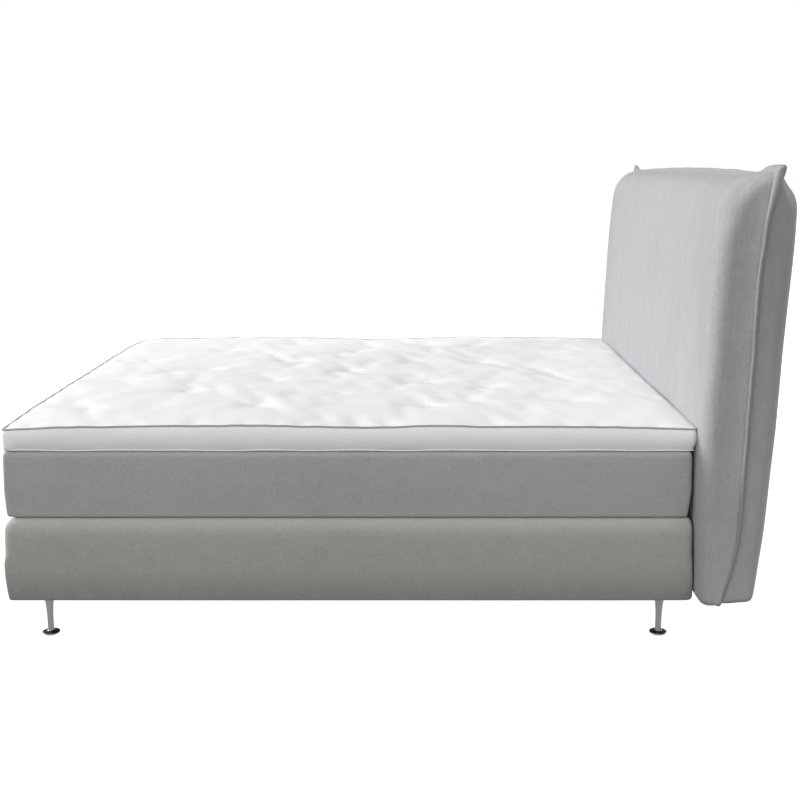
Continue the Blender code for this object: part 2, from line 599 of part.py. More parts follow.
def bolt(name, at, under, reach):
    """Pan-head bolt put in from below: its head bears on the bar's underside."""
    head = 0.0040
    profile = [(0.0, reach), (STUD_R, reach), (STUD_R, under - GAP), (0.0080, under - GAP),
               (0.0080, under - GAP - head * 0.4), (0.0055, under - GAP - head), (0.0, under - GAP - head)]
    return turned(name, profile, STEEL, (at[0], at[1], 0.0), steps=12)


for s, name in ((-1, "left"), (1, "right")):
    x = s * BRACKET_X
    bracket("headboard_bracket_" + name, x)
    bolt("base_bolt_" + name, (x, BASE_BOLT_Y), BRACKET_Z - BRACKET_T, 0.195)
    bolt("headboard_bolt_" + name, (x, HB_BOLT_Y), BRACKET_Z_HIGH - BRACKET_T, 0.230)
    drill(head_rail, (x, BASE_BOLT_Y), BORE_R, RAIL_Z0 - 0.01, 0.197, steps=12)
    drill(back_cover, (x, HB_BOLT_Y), 0.0060, 0.130, 0.165, steps=12)
    drill(edge_pad, (x, HB_BOLT_Y), 0.0060, 0.150, 0.185, steps=12)
    drill(low_rail, (x, HB_BOLT_Y), BORE_R, 0.150, 0.233, steps=12)
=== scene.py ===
"""Looks of the box spring bed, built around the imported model.

Metres, +Z up, +Y from the foot end to the headboard, +X to the near side.
"""
import bpy
import bmesh
import numpy as np
from math import sin, cos, pi, sqrt, radians, asin, degrees
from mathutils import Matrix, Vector, noise


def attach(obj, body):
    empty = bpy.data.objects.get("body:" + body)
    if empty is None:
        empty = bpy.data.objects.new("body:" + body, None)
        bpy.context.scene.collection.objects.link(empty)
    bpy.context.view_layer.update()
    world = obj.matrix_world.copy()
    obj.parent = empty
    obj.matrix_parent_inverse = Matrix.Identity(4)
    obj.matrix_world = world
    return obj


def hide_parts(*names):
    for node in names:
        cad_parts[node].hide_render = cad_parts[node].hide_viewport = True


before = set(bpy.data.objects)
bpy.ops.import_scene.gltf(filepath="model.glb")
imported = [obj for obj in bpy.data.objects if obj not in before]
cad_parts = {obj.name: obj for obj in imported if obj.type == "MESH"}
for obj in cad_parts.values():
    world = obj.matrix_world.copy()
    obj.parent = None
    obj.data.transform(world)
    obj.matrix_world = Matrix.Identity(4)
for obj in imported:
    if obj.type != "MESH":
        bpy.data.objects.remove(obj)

SCENE = bpy.context.scene
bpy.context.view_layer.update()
SCENE.view_settings.view_transform = "Standard"
SCENE.view_settings.look = "None"

# ------------------------------------------------------------------- camera
CAM_AT = (4.254, 0.0885, 1.4023)
CAM_PITCH = asin(0.1942)
cam = bpy.data.cameras.new("view_camera")
cam.sensor_width = 36.0
cam.lens = 36.0 * 1188.7 / 800.0
cam.shift_x = -18.0 / 800.0
cam_ob = bpy.data.objects.new("view_camera", cam)
SCENE.collection.objects.link(cam_ob)
cam_ob.location = CAM_AT
cam_ob.rotation_euler = (radians(90.0) - CAM_PITCH, 0.0, radians(90.0))
SCENE.camera = cam_ob


# ---------------------------------------------------------------- materials
class Look:
    """A material built from short calls; coordinates are the object's own."""

    def __init__(self, name):
        self.mat = bpy.data.materials.new(name)
        self.mat.use_nodes = True
        self.tree = self.mat.node_tree
        self.shader = self.tree.nodes["Principled BSDF"]
        self.where = self.tree.nodes.new("ShaderNodeTexCoord").outputs["Object"]

    def put(self, socket, value):
        if isinstance(value, bpy.types.NodeSocket):
            self.tree.links.new(value, socket)
        else:
            socket.default_value = value

    def math(self, op, a, b=0.0, clamp=False):
        n = self.tree.nodes.new("ShaderNodeMath")
        n.operation = op
        n.use_clamp = clamp
        self.put(n.inputs[0], a)
        self.put(n.inputs[1], b)
        return n.outputs[0]

    def fit(self, value, lo, hi, to_lo, to_hi, soft=False):
        n = self.tree.nodes.new("ShaderNodeMapRange")
        if soft:
            n.interpolation_type = "SMOOTHSTEP"
        for i, v in enumerate((value, lo, hi, to_lo, to_hi)):
            self.put(n.inputs[i], v)
        return n.outputs[0]

    def moved(self, stretch=(1, 1, 1), shift=(0, 0, 0), turn=(0, 0, 0), vector=None):
        n = self.tree.nodes.new("ShaderNodeMapping")
        self.put(n.inputs["Vector"], vector or self.where)
        n.inputs["Scale"].default_value = stretch
        n.inputs["Location"].default_value = shift
        n.inputs["Rotation"].default_value = turn
        return n.outputs[0]

    def noise(self, scale, stretch=(1, 1, 1), detail=3.0, rough=0.55, shift=(0, 0, 0), warp=0.0):
        n = self.tree.nodes.new("ShaderNodeTexNoise")
        self.put(n.inputs["Vector"], self.moved(stretch, shift))
        n.inputs["Scale"].default_value = scale
        n.inputs["Detail"].default_value = detail
        n.inputs["Roughness"].default_value = rough
        n.inputs["Distortion"].default_value = warp
        return n.outputs[0]

    def wave(self, scale, axis, stretch=(1, 1, 1), turn=(0, 0, 0), warp=0.0, kind="SIN"):
        n = self.tree.nodes.new("ShaderNodeTexWave")
        self.put(n.inputs["Vector"], self.moved(stretch, turn=turn))
        n.wave_type = "BANDS"
        n.bands_direction = axis
        n.wave_profile = kind
        n.inputs["Scale"].default_value = scale
        n.inputs["Distortion"].default_value = warp
        n.inputs["Detail"].default_value = 1.5
        return n.outputs["Fac"]

    def cells(self, scale, stretch=(1, 1, 1), feature="F1", output="Distance"):
        n = self.tree.nodes.new("ShaderNodeTexVoronoi")
        n.feature = feature
        self.put(n.inputs["Vector"], self.moved(stretch))
        n.inputs["Scale"].default_value = scale
        return n.outputs[output]

    def mix(self, fac, a, b):
        n = self.tree.nodes.new("ShaderNodeMix")
        n.data_type = "RGBA"
        self.put(n.inputs["Factor"], fac)
        for socket, value in ((n.inputs[6], a), (n.inputs[7], b)):
            self.put(socket, value if isinstance(value, bpy.types.NodeSocket) else (*value, 1.0))
        return n.outputs[2]

    def shade(self, colour, factor):
        """The colour times a grey factor."""
        n = self.tree.nodes.new("ShaderNodeVectorMath")
        n.operation = "SCALE"
        self.put(n.inputs[0], colour if isinstance(colour, bpy.types.NodeSocket) else tuple(colour))
        self.put(n.inputs["Scale"], factor)
        return n.outputs[0]

    def bump(self, height, strength, distance, after=None):
        n = self.tree.nodes.new("ShaderNodeBump")
        n.inputs["Strength"].default_value = strength
        n.inputs["Distance"].default_value = distance
        self.put(n.inputs["Height"], height)
        if after is not None:
            self.put(n.inputs["Normal"], after)
        return n.outputs[0]

    def done(self, colour=None, rough=None, normal=None, metal=0.0, sheen=0.0, sheen_rough=0.5, spec=0.5, **more):
        s = self.shader.inputs
        if colour is not None:
            self.put(s["Base Color"], colour if isinstance(colour, bpy.types.NodeSocket) else (*colour, 1.0))
        if rough is not None:
            self.put(s["Roughness"], rough)
        if normal is not None:
            self.put(s["Normal"], normal)
        s["Metallic"].default_value = metal
        s["Sheen Weight"].default_value = sheen
        s["Sheen Roughness"].default_value = sheen_rough
        s["Specular IOR Level"].default_value = spec
        for k, v in more.items():
            s[k.replace("_", " ")].default_value = v
        return self.mat


def weave_of(k, fine=1.0):
    """Level and upright yarns of a plain weave, each broken into short slubs."""
    level = k.noise(1.0, (210 * fine, 210 * fine, 780 * fine), detail=1.5, rough=0.5)
    upright = k.noise(1.0, (780 * fine, 780 * fine, 210 * fine), detail=1.5, rough=0.5, shift=(3, 5, 7))
    return level, upright


def upholstery(name, warm, nap=0.0, grain=1.0, levels=()):
    """Short-pile melange upholstery cloth; nap adds upright brushed streaks.

    Each of the levels paints light or shade into the colour: lighter or darker between two heights.
    """
    k = Look(name)
    level, upright = weave_of(k)
    yarn = k.math("ADD", k.fit(level, 0.25, 0.75, -0.5, 0.5), k.fit(upright, 0.25, 0.75, -0.5, 0.5))
    fleck = k.fit(k.noise(165.0, detail=3.0, rough=0.6), 0.32, 0.68, -1.0, 1.0)
    cloud = k.fit(k.noise(24.0, detail=3.0, rough=0.6, shift=(1, 2, 3)), 0.3, 0.7, -1.0, 1.0)
    drift = k.fit(k.noise(3.2, (1, 1, 0.7), detail=2.0, shift=(8, 1, 4)), 0.3, 0.7, -1.0, 1.0)
    amount = k.math("MULTIPLY", yarn, 0.050 * grain)
    amount = k.math("ADD", amount, k.math("MULTIPLY", fleck, 0.090 * grain))
    amount = k.math("ADD", amount, k.math("MULTIPLY", cloud, 0.035 * grain))
    amount = k.math("ADD", amount, k.math("MULTIPLY", drift, 0.020))
    height = k.math("ADD", k.math("MULTIPLY", yarn, 0.6), k.math("MULTIPLY", fleck, 0.4))
    # painted light and shade: the colour is lightened or darkened between two heights
    if levels:
        apart = k.tree.nodes.new("ShaderNodeSeparateXYZ")
        k.put(apart.inputs[0], k.where)
        for painted_band in levels:
            amount = k.math("ADD", amount, k.fit(apart.outputs["Z"], *painted_band, soft=True))
    if nap:
        streak = k.fit(k.noise(1.0, (105, 105, 9.0), detail=3.0, rough=0.6, warp=0.6), 0.3, 0.7, -1.0, 1.0)
        brush = k.fit(k.noise(1.0, (16, 16, 2.4), detail=2.0, rough=0.5, shift=(5, 5, 5), warp=0.8), 0.3, 0.7, -1.0, 1.0)
        amount = k.math("ADD", amount, k.math("MULTIPLY", streak, 0.040 * nap))
        amount = k.math("ADD", amount, k.math("MULTIPLY", brush, 0.030 * nap))
        height = k.math("ADD", height, k.math("MULTIPLY", streak, 0.5 * nap))
    colour = k.shade(warm, k.math("ADD", amount, 1.0))
    normal = k.bump(height, 0.45, 0.0011)
    rough = k.fit(fleck, -1.0, 1.0, 0.80, 0.95)
    return k.done(colour, rough, normal, sheen=0.22, sheen_rough=0.45, spec=0.18)


GREY = (0.355, 0.347, 0.338)
HEAD = (0.342, 0.340, 0.337)
# painted highlight along the base's upper edge and painted shade towards its bottom
MAT_BASE = upholstery("base_cloth", GREY, levels=((0.325, 0.385, 0.0, 0.27), (0.120, 0.250, -0.21, 0.0)))
# painted highlight along the mattress's upper edge
MAT_UPPER = upholstery("mattress_cloth", (0.378, 0.375, 0.371), levels=((0.560, 0.590, 0.0, 0.20),))
MAT_HEAD = upholstery("headboard_velour", HEAD, nap=1.0, grain=0.8)
# painted light low on the back cushion and painted shade towards its top
MAT_HEAD_BACK = upholstery("headboard_back_velour", HEAD, nap=1.0, grain=0.8, levels=((0.40, 1.25, 0.13, -0.03),))
# the fin's velour is a darker copy of the headboard velour as painted shade, and darker still below 1.22 m as more
# painted shade
MAT_HEAD_TRIM = upholstery("headboard_flange_velour", (0.318, 0.316, 0.313), nap=0.3, grain=0.8, levels=((1.22, 1.36, -0.18, 0),))


def topper_cloth():
    """Knitted white ticking with a small raised lattice."""
    k = Look("topper_ticking")
    a = k.wave(1.0, "X", (52, 52, 52), turn=(0, 0, radians(45)))
    b = k.wave(1.0, "Y", (52, 52, 52), turn=(0, 0, radians(45)))
    lattice = k.math("MULTIPLY", a, b)
    knit = k.noise(420.0, detail=2.0)
    cloud = k.fit(k.noise(14.0, detail=3.0), 0.3, 0.7, -1.0, 1.0)
    amount = k.math("ADD", k.math("MULTIPLY", cloud, 0.010), k.fit(lattice, 0.0, 1.0, -0.010, 0.010))
    amount = k.math("ADD", amount, k.fit(knit, 0.3, 0.7, -0.020, 0.020))
    colour = k.shade((0.884, 0.880, 0.872), k.math("ADD", amount, 1.0))
    height = k.math("ADD", k.math("MULTIPLY", lattice, 0.7), k.math("MULTIPLY", knit, 0.5))
    return k.done(colour, k.fit(knit, 0.3, 0.7, 0.82, 0.94), k.bump(height, 0.25, 0.0010), sheen=0.04, sheen_rough=0.5, spec=0.12)


def topper_border_cloth():
    """Airy spacer knit of the topper's border, in rows of small pores."""
    k = Look("topper_border_knit")
    pores = k.cells(1.0, (230, 230, 300))
    knit = k.noise(380.0, detail=2.0)
    cloud = k.fit(k.noise(6.0, (1, 1, 2), detail=3.0), 0.3, 0.7, -1.0, 1.0)
    rising = k.wave(1.0, "DIAGONAL", (46, 46, 46), warp=0.5)
    falling = k.wave(1.0, "DIAGONAL", (46, 46, -46), warp=0.5)
    lattice = k.math("MAXIMUM", rising, falling)
    amount = k.math("ADD", k.fit(pores, 0.1, 0.6, 0.020, -0.030), k.math("MULTIPLY", cloud, 0.020))
    amount = k.math("ADD", amount, k.fit(lattice, 0.2, 1.0, -0.030, 0.022))
    colour = k.shade((0.892, 0.900, 0.912), k.math("ADD", amount, 1.0))
    height = k.math("ADD", k.math("MULTIPLY", pores, -0.7), k.math("MULTIPLY", knit, 0.3))
    height = k.math("ADD", height, k.math("MULTIPLY", lattice, 0.8))
    return k.done(colour, k.fit(knit, 0.3, 0.7, 0.80, 0.94), k.bump(height, 0.30, 0.0009), sheen=0.10, spec=0.2)


def cord_cloth(name, colour, rough=0.8):
    """Twisted piping: slanting strands, seen from any side."""
    k = Look(name)
    strands = k.wave(1.0, "DIAGONAL", (155, 155, 155), warp=0.4)
    fuzz = k.noise(650.0, detail=2.0)
    tone = k.math("ADD", k.fit(strands, 0.0, 1.0, 0.92, 1.06), k.fit(fuzz, 0.3, 0.7, -0.05, 0.05))
    height = k.math("ADD", strands, k.math("MULTIPLY", fuzz, 0.4))
    return k.done(k.shade(colour, tone), k.fit(fuzz, 0.3, 0.7, rough - 0.08, rough + 0.08), k.bump(height, 0.5, 0.0008), sheen=0.15, spec=0.25)


def thread_look(name, colour):
    k = Look(name)
    ply = k.wave(1.0, "DIAGONAL", (900, 900, 900))
    fuzz = k.noise(900.0, detail=1.0)
    return k.done(k.shade(colour, k.fit(ply, 0, 1, 0.86, 1.08)), k.fit(fuzz, 0.3, 0.7, 0.5, 0.7), k.bump(ply, 0.4, 0.0003), spec=0.3)


def lining_look(name, colour):
    """Spun-bonded lining with its welded dots."""
    k = Look(name)
    dots = k.cells(1.0, (420, 420, 420))
    fibre = k.noise(260.0, (1, 1, 1), detail=4.0, rough=0.7)
    cloud = k.noise(5.0, detail=2.0)
    tone = k.math("ADD", k.fit(fibre, 0.3, 0.7, 0.78, 1.20), k.fit(cloud, 0.3, 0.7, -0.06, 0.06))
    height = k.math("ADD", k.math("MULTIPLY", dots, 0.8), fibre)
    return k.done(k.shade(colour, tone), k.fit(fibre, 0.3, 0.7, 0.72, 0.92), k.bump(height, 0.35, 0.0006), spec=0.25)


def foam_look():
    k = Look("foam")
    pores = k.cells(420.0)
    cloud = k.noise(9.0, detail=3.0)
    tone = k.math("ADD", k.fit(pores, 0.0, 0.6, 0.82, 1.05), k.fit(cloud, 0.3, 0.7, -0.05, 0.05))
    return k.done(k.shade((0.80, 0.76, 0.62), tone), k.fit(pores, 0.0, 0.6, 0.85, 0.98), k.bump(pores, 0.5, 0.0010), spec=0.15)


def pocket_look():
    """White spun cloth round the springs, with a coil's faint lines."""
    k = Look("spring_pocket_cloth")
    coil = k.wave(1.0, "Z", (1, 1, 62), warp=0.3)
    fibre = k.noise(300.0, detail=4.0, rough=0.7)
    tone = k.math("ADD", k.fit(fibre, 0.3, 0.7, 0.90, 1.04), k.fit(coil, 0.0, 1.0, -0.07, 0.03))
    height = k.math("ADD", coil, k.math("MULTIPLY", fibre, 0.4))
    return k.done(k.shade((0.84, 0.84, 0.82), tone), k.fit(fibre, 0.3, 0.7, 0.75, 0.92), k.bump(height, 0.5, 0.0025), spec=0.2)


def wood_look(name, light, dark, along):
    """Softwood: long growth lines along one axis, with fine fibre."""
    k = Look(name)
    stretch = [38.0, 38.0, 38.0]
    stretch[along] = 1.6
    rings = k.noise(1.0, tuple(stretch), detail=4.0, rough=0.62, warp=1.4)
    fine = [520.0, 520.0, 520.0]
    fine[along] = 9.0
    fibre = k.noise(1.0, tuple(fine), detail=2.0)
    colour = k.mix(k.fit(rings, 0.35, 0.65, 0.0, 1.0), light, dark)
    colour = k.shade(colour, k.fit(fibre, 0.25, 0.75, 0.86, 1.08))
    height = k.math("ADD", rings, k.math("MULTIPLY", fibre, 0.8))
    return k.done(colour, k.fit(rings, 0.3, 0.7, 0.55, 0.75), k.bump(height, 0.25, 0.0008), spec=0.35)


def ply_look():
    """Plywood: veneer figure on the faces and dark glue lines on the edges."""
    k = Look("birch_ply")
    figure = k.noise(1.0, (2.2, 30, 30), detail=4.0, rough=0.6, warp=1.6)
    layer = k.wave(1.0, "Y", (1, 330, 1))
    colour = k.mix(k.fit(figure, 0.35, 0.65, 0.0, 1.0), (0.70, 0.53, 0.34), (0.56, 0.39, 0.23))
    colour = k.shade(colour, k.fit(layer, 0.0, 1.0, 0.82, 1.05))
    return k.done(colour, k.fit(figure, 0.3, 0.7, 0.5, 0.7), k.bump(figure, 0.2, 0.0006), spec=0.35)


def chrome_look():
    """Satin chrome, brushed round the turned shaft."""
    k = Look("satin_chrome")
    rings = k.noise(1.0, (18, 18, 1900), detail=2.0)
    smear = k.noise(60.0, detail=3.0)
    rough = k.math("ADD", k.fit(rings, 0.3, 0.7, 0.24, 0.36), k.fit(smear, 0.3, 0.7, -0.03, 0.05))
    colour = k.shade((0.205, 0.205, 0.208), k.fit(smear, 0.3, 0.7, 0.93, 1.05))
    return k.done(colour, rough, k.bump(rings, 0.12, 0.0002), metal=1.0)


def zinc_look():
    k = Look("zinc_plated_steel")
    spangle = k.cells(240.0, output="Color")
    grain = k.noise(500.0, detail=3.0)
    colour = k.mix(k.fit(grain, 0.3, 0.7, 0.0, 1.0), (0.50, 0.51, 0.54), (0.60, 0.61, 0.62))
    colour = k.mix(0.06, colour, spangle)
    return k.done(colour, k.fit(grain, 0.3, 0.7, 0.30, 0.48), k.bump(grain, 0.2, 0.0002), metal=1.0)


def plastic_look():
    k = Look("black_moulded_plastic")
    grain = k.noise(900.0, detail=3.0)
    smear = k.noise(30.0, detail=3.0)
    colour = k.shade((0.035, 0.035, 0.036), k.fit(smear, 0.3, 0.7, 0.85, 1.2))
    return k.done(colour, k.fit(grain, 0.3, 0.7, 0.42, 0.60), k.bump(grain, 0.3, 0.0003), spec=0.45)


MAT_TOP = topper_cloth()
MAT_BORDER = topper_border_cloth()
MAT_PIPING = cord_cloth("piping_grey", (0.40, 0.40, 0.40))
MAT_PIPING_PALE = cord_cloth("piping_pale", (0.88, 0.88, 0.87))
MAT_THREAD = thread_look("headboard_thread", (0.34, 0.34, 0.345))
MAT_THREAD_WHITE = thread_look("white_thread", (0.80, 0.80, 0.79))
MAT_LINING = lining_look("black_lining_cloth", (0.030, 0.030, 0.031))
MAT_UNDER = lining_look("white_lining_cloth", (0.74, 0.74, 0.73))
MAT_FOAM = foam_look()
MAT_POCKET = pocket_look()
MAT_WOOD_X = wood_look("timber_across", (0.66, 0.48, 0.29), (0.50, 0.33, 0.18), 0)
MAT_WOOD_Y = wood_look("timber_along", (0.66, 0.48, 0.29), (0.50, 0.33, 0.18), 1)
MAT_WOOD_Z = wood_look("timber_upright", (0.66, 0.48, 0.29), (0.50, 0.33, 0.18), 2)
MAT_PLY = ply_look()
MAT_CHROME = chrome_look()
MAT_ZINC = zinc_look()
MAT_PLASTIC = plastic_look()


# -------------------------------------------------------------- mesh helpers
def coords(me):
    out = np.empty(len(me.vertices) * 3)
    me.vertices.foreach_get("co", out)
    return out.reshape(-1, 3)


def set_coords(me, p):
    me.vertices.foreach_set("co", np.ascontiguousarray(p, dtype=float).ravel())
    me.update()


def build(name, verts, faces, mats):
    if not np.isfinite(np.asarray(verts, dtype=float)).all():
        raise ValueError(f"{name} has a point without a place")
    me = bpy.data.meshes.new(name)
    me.from_pydata([tuple(map(float, v)) for v in verts], [], faces)
    for m in mats if isinstance(mats, (list, tuple)) else [mats]:
        me.materials.append(m)
    me.polygons.foreach_set("use_smooth", [True] * len(me.polygons))
    me.update()
    ob = bpy.data.objects.new(name, me)
    SCENE.collection.objects.link(ob)
    return ob


def bake(ob):
    """Applies whatever modifiers the piece has."""
    dg = bpy.context.evaluated_depsgraph_get()
    me = bpy.data.meshes.new_from_object(ob.evaluated_get(dg))
    ob.modifiers.clear()
    old, ob.data = ob.data, me
    me.name = ob.name
    bpy.data.meshes.remove(old)
    me.polygons.foreach_set("use_smooth", [True] * len(me.polygons))
    return ob


def refine(ob):
    mod = ob.modifiers.new("finer", "SUBSURF")
    mod.levels = mod.render_levels = 1
    return bake(ob)


def simulate(ob, goal, frames=14, pressure=2.0, shrink=-0.01, stiff=15.0, bend=6.0, mass=0.35, cap=0.012):
    """Lets the cloth settle under pressure from inside; goal holds each point by 0 to 1."""
    before = coords(ob.data).copy()
    group = ob.vertex_groups.new(name="held")
    level = np.round(np.clip(goal, 0, 1) * 20).astype(int)
    for g in np.unique(level):
        group.add([int(i) for i in np.nonzero(level == g)[0]], g / 20.0, "REPLACE")
    mod = ob.modifiers.new("settle", "CLOTH")
    s = mod.settings
    s.quality = 5
    s.mass = mass
    s.air_damping = 4.0
    s.tension_stiffness = s.compression_stiffness = stiff
    s.shear_stiffness = stiff * 0.5
    s.bending_stiffness = bend
    s.tension_damping = s.compression_damping = s.shear_damping = 10.0
    s.use_pressure = True
    s.uniform_pressure_force = pressure
    s.shrink_min = shrink
    s.effector_weights.gravity = 0.0
    s.vertex_group_mass = "held"
    s.pin_stiffness = 1.0
    mod.collision_settings.use_collision = False
    mod.collision_settings.use_self_collision = False
    mod.point_cache.frame_start = 1
    mod.point_cache.frame_end = frames
    for f in range(1, frames + 1):
        SCENE.frame_set(f)
    dg = bpy.context.evaluated_depsgraph_get()
    after = coords(ob.evaluated_get(dg).data).copy()
    ob.modifiers.clear()
    ob.vertex_groups.clear()
    SCENE.frame_set(1)
    move = after - before
    long = np.linalg.norm(move, axis=1)
    soft = cap * np.tanh(long / cap) / np.maximum(long, 1e-9)
    set_coords(ob.data, before + move * soft[:, None])
    print("settled", ob.name, "most", round(float(long.max()), 4), "mean", round(float(long.mean()), 5))
    return ob


def box_grid(xs, ys, zs, skip=()):
    """The surface of a block as one grid with shared points, quads facing out."""
    nx, ny, nz = len(xs) - 1, len(ys) - 1, len(zs) - 1
    index, verts, faces = {}, [], []

    def at(i, j, k):
        key = (i, j, k)
        if key not in index:
            index[key] = len(verts)
            verts.append((xs[i], ys[j], zs[k]))
        return index[key]

    for wall, k in (("bottom", 0), ("top", nz)):
        if wall in skip:
            continue
        for i in range(nx):
            for j in range(ny):
                q = [at(i, j, k), at(i + 1, j, k), at(i + 1, j + 1, k), at(i, j + 1, k)]
                faces.append(q if k else q[::-1])
    for wall, j in (("foot", 0), ("head", ny)):
        if wall in skip:
            continue
        for i in range(nx):
            for k in range(nz):
                q = [at(i, j, k), at(i + 1, j, k), at(i + 1, j, k + 1), at(i, j, k + 1)]
                faces.append(q[::-1] if j else q)
    for wall, i in (("left", 0), ("right", nx)):
        if wall in skip:
            continue
        for j in range(ny):
            for k in range(nz):
                q = [at(i, j, k), at(i, j + 1, k), at(i, j + 1, k + 1), at(i, j, k + 1)]
                faces.append(q if i else q[::-1])
    return np.array(verts), faces


def lines(lo, hi, step, edge_lo=(), edge_hi=()):
    """Grid lines from lo to hi, closer together at the ends."""
    a = lo + (edge_lo[-1] if edge_lo else 0.0)
    b = hi - (edge_hi[-1] if edge_hi else 0.0)
    n = max(1, int(round((b - a) / step)))
    mid = np.linspace(a, b, n + 1)
    return np.array([lo] + [lo + e for e in edge_lo[:-1]] + list(mid if edge_lo else mid[1:])
                    + ([hi - e for e in edge_hi[:-1]][::-1] + [hi] if edge_hi else []))


def rounded(p, lo, hi, r):
    """Rounds a block's edges; r has one radius per point and axis. Also gives the outward lean."""
    core = np.clip(p, lo + r, hi - r)
    d = (p - core) / r
    d /= np.maximum(np.linalg.norm(d, axis=1), 1e-9)[:, None]
    return core + r * d, d


def ease(t):
    t = np.clip(t, 0.0, 1.0)
    return t * t * (3 - 2 * t)


def ripple(p, size, seed, n=8):
    """Smooth uneven field, roughly -1 to 1, with features of about this size."""
    rng = np.random.default_rng(seed)
    p = np.asarray(p, dtype=float)
    total = np.zeros(len(p))
    for _ in range(n):
        d = rng.normal(size=p.shape[1])
        d /= np.linalg.norm(d)
        total += np.sin(p @ d * (2 * pi / size) * rng.uniform(0.7, 1.4) + rng.uniform(0, 2 * pi))
    return total / sqrt(n) / 1.3


class Table:
    """Values against height, joined by a smooth curve."""

    def __init__(self, pts, blur=0.03, add=()):
        z = np.array([q[0] for q in pts])
        v = np.array([q[1] for q in pts])
        self.z = np.linspace(z[0] - 0.12, z[-1] + 0.12, 900)
        raw = np.interp(self.z, z, v)
        lo, hi = self.z < z[0], self.z > z[-1]
        raw[lo] = v[0] + (self.z[lo] - z[0]) * (v[1] - v[0]) / (z[1] - z[0])
        raw[hi] = v[-1] + (self.z[hi] - z[-1]) * (v[-1] - v[-2]) / (z[-1] - z[-2])
        step = self.z[1] - self.z[0]
        w = np.exp(-0.5 * (np.arange(-60, 61) * step / blur) ** 2)
        self.v = np.convolve(np.pad(raw, 60, mode="edge"), w / w.sum(), mode="valid")

    def __call__(self, z):
        return np.interp(z, self.z, self.v)


def tube(name, path, out, radius, mat, sides=10, squash=1.0):
    """A closed tube round a closed path; out is the outward direction at each point."""
    n = len(path)
    tangent = np.roll(path, -1, axis=0) - np.roll(path, 1, axis=0)
    tangent /= np.maximum(np.linalg.norm(tangent, axis=1), 1e-9)[:, None]
    side = out - tangent * np.sum(out * tangent, axis=1)[:, None]
    side /= np.maximum(np.linalg.norm(side, axis=1), 1e-9)[:, None]
    up = np.cross(side, tangent)
    verts, faces = [], []
    for i in range(n):
        for k in range(sides):
            a = 2 * pi * k / sides
            verts.append(path[i] + radius * (side[i] * cos(a) + up[i] * sin(a) * squash))
    for i in range(n):
        j = (i + 1) % n
        for k in range(sides):
            m = (k + 1) % sides
            faces.append([i * sides + k, j * sides + k, j * sides + m, i * sides + m])
    ob = build(name, verts, faces, mat)
    outward(ob)
    return ob


def outward(ob):
    """Turns a closed piece's faces outward."""
    bm = bmesh.new()
    bm.from_mesh(ob.data)
    if bm.calc_volume(signed=True) < 0:
        bmesh.ops.reverse_faces(bm, faces=bm.faces[:])
        bm.to_mesh(ob.data)
    bm.free()
    ob.data.update()
    return ob


def turned(name, profile, x, y, mat, seg=72):
    """A piece turned about the upright axis at x, y, closed at both ends."""
    verts, faces = [], []
    rows = len(profile)
    for r, z in profile:
        for k in range(seg):
            a = 2 * pi * k / seg
            verts.append((x + r * cos(a), y + r * sin(a), z))
    for i in range(rows - 1):
        for k in range(seg):
            m = (k + 1) % seg
            faces.append([i * seg + k, i * seg + m, (i + 1) * seg + m, (i + 1) * seg + k])
    lo = len(verts)
    verts.append((x, y, profile[0][1]))
    verts.append((x, y, profile[-1][1]))
    for k in range(seg):
        m = (k + 1) % seg
        faces.append([lo, m, k])
        faces.append([lo + 1, (rows - 1) * seg + k, (rows - 1) * seg + m])
    return outward(build(name, verts, faces, mat))


def loop_rect(hx, y0, y1, r, n_side, n_end, n_corner):
    """A rounded rectangle in plan, anticlockwise from the foot's left end."""
    pts = []

    def line(a, b, n):
        for i in range(n):
            t = i / n
            pts.append((a[0] + (b[0] - a[0]) * t, a[1] + (b[1] - a[1]) * t))

    def corner(cx, cy, a0):
        for i in range(n_corner):
            a = a0 + pi / 2 * i / n_corner
            pts.append((cx + r * cos(a), cy + r * sin(a)))

    line((-hx + r, y0), (hx - r, y0), n_end)
    corner(hx - r, y0 + r, -pi / 2)
    line((hx, y0 + r), (hx, y1 - r), n_side)
    corner(hx - r, y1 - r, 0)
    line((hx - r, y1), (-hx + r, y1), n_end)
    corner(-hx + r, y1 - r, pi / 2)
    line((-hx, y1 - r), (-hx, y0 + r), n_side)
    corner(-hx + r, y0 + r, pi)
    return np.array(pts)


# ------------------------------------------------------------------- topper
TUFT_ROWS = (
    (0.170, (0.150, 0.406, 0.644, 0.900)),
    (0.430, (0.293, 0.533, 0.782)),
    (0.695, (0.160, 0.406, 0.640, 0.883)),
    (0.955, (0.272, 0.519, 0.772)),
    (1.232, (0.160, 0.390, 0.617, 0.875)),
    (1.430, (0.342, 0.617, 0.857)),
    (1.680, (0.210, 0.478, 0.740)),
    (1.726, (0.966,)),
)
TUFTS = np.array([(0.9 - 1.8 * f, -1.1115 + b) for b, fs in TUFT_ROWS for f in fs])
T_HALF, T_FOOT, T_HEAD = 0.8990, -1.1155, 0.8925
T_TOP, T_LOW = 0.6605, 0.5895
BELLY = 0.0120      # how far the headboard's middle stands out above the mattress


def plan_round(p, hx, y0, y1, r):
    """Takes a rectangle's grid to a rectangle with round corners."""
    cx = np.clip(p[:, 0], -hx + r, hx - r)
    cy = np.clip(p[:, 1], y0 + r, y1 - r)
    d = np.stack([p[:, 0] - cx, p[:, 1] - cy], axis=1)
    reach = np.abs(d).max(axis=1)
    size = np.linalg.norm(d, axis=1)
    f = np.where(size > 1e-9, reach / np.maximum(size, 1e-9), 1.0)
    q = p.copy()
    q[:, 0] = cx + d[:, 0] * f
    q[:, 1] = cy + d[:, 1] * f
    return q


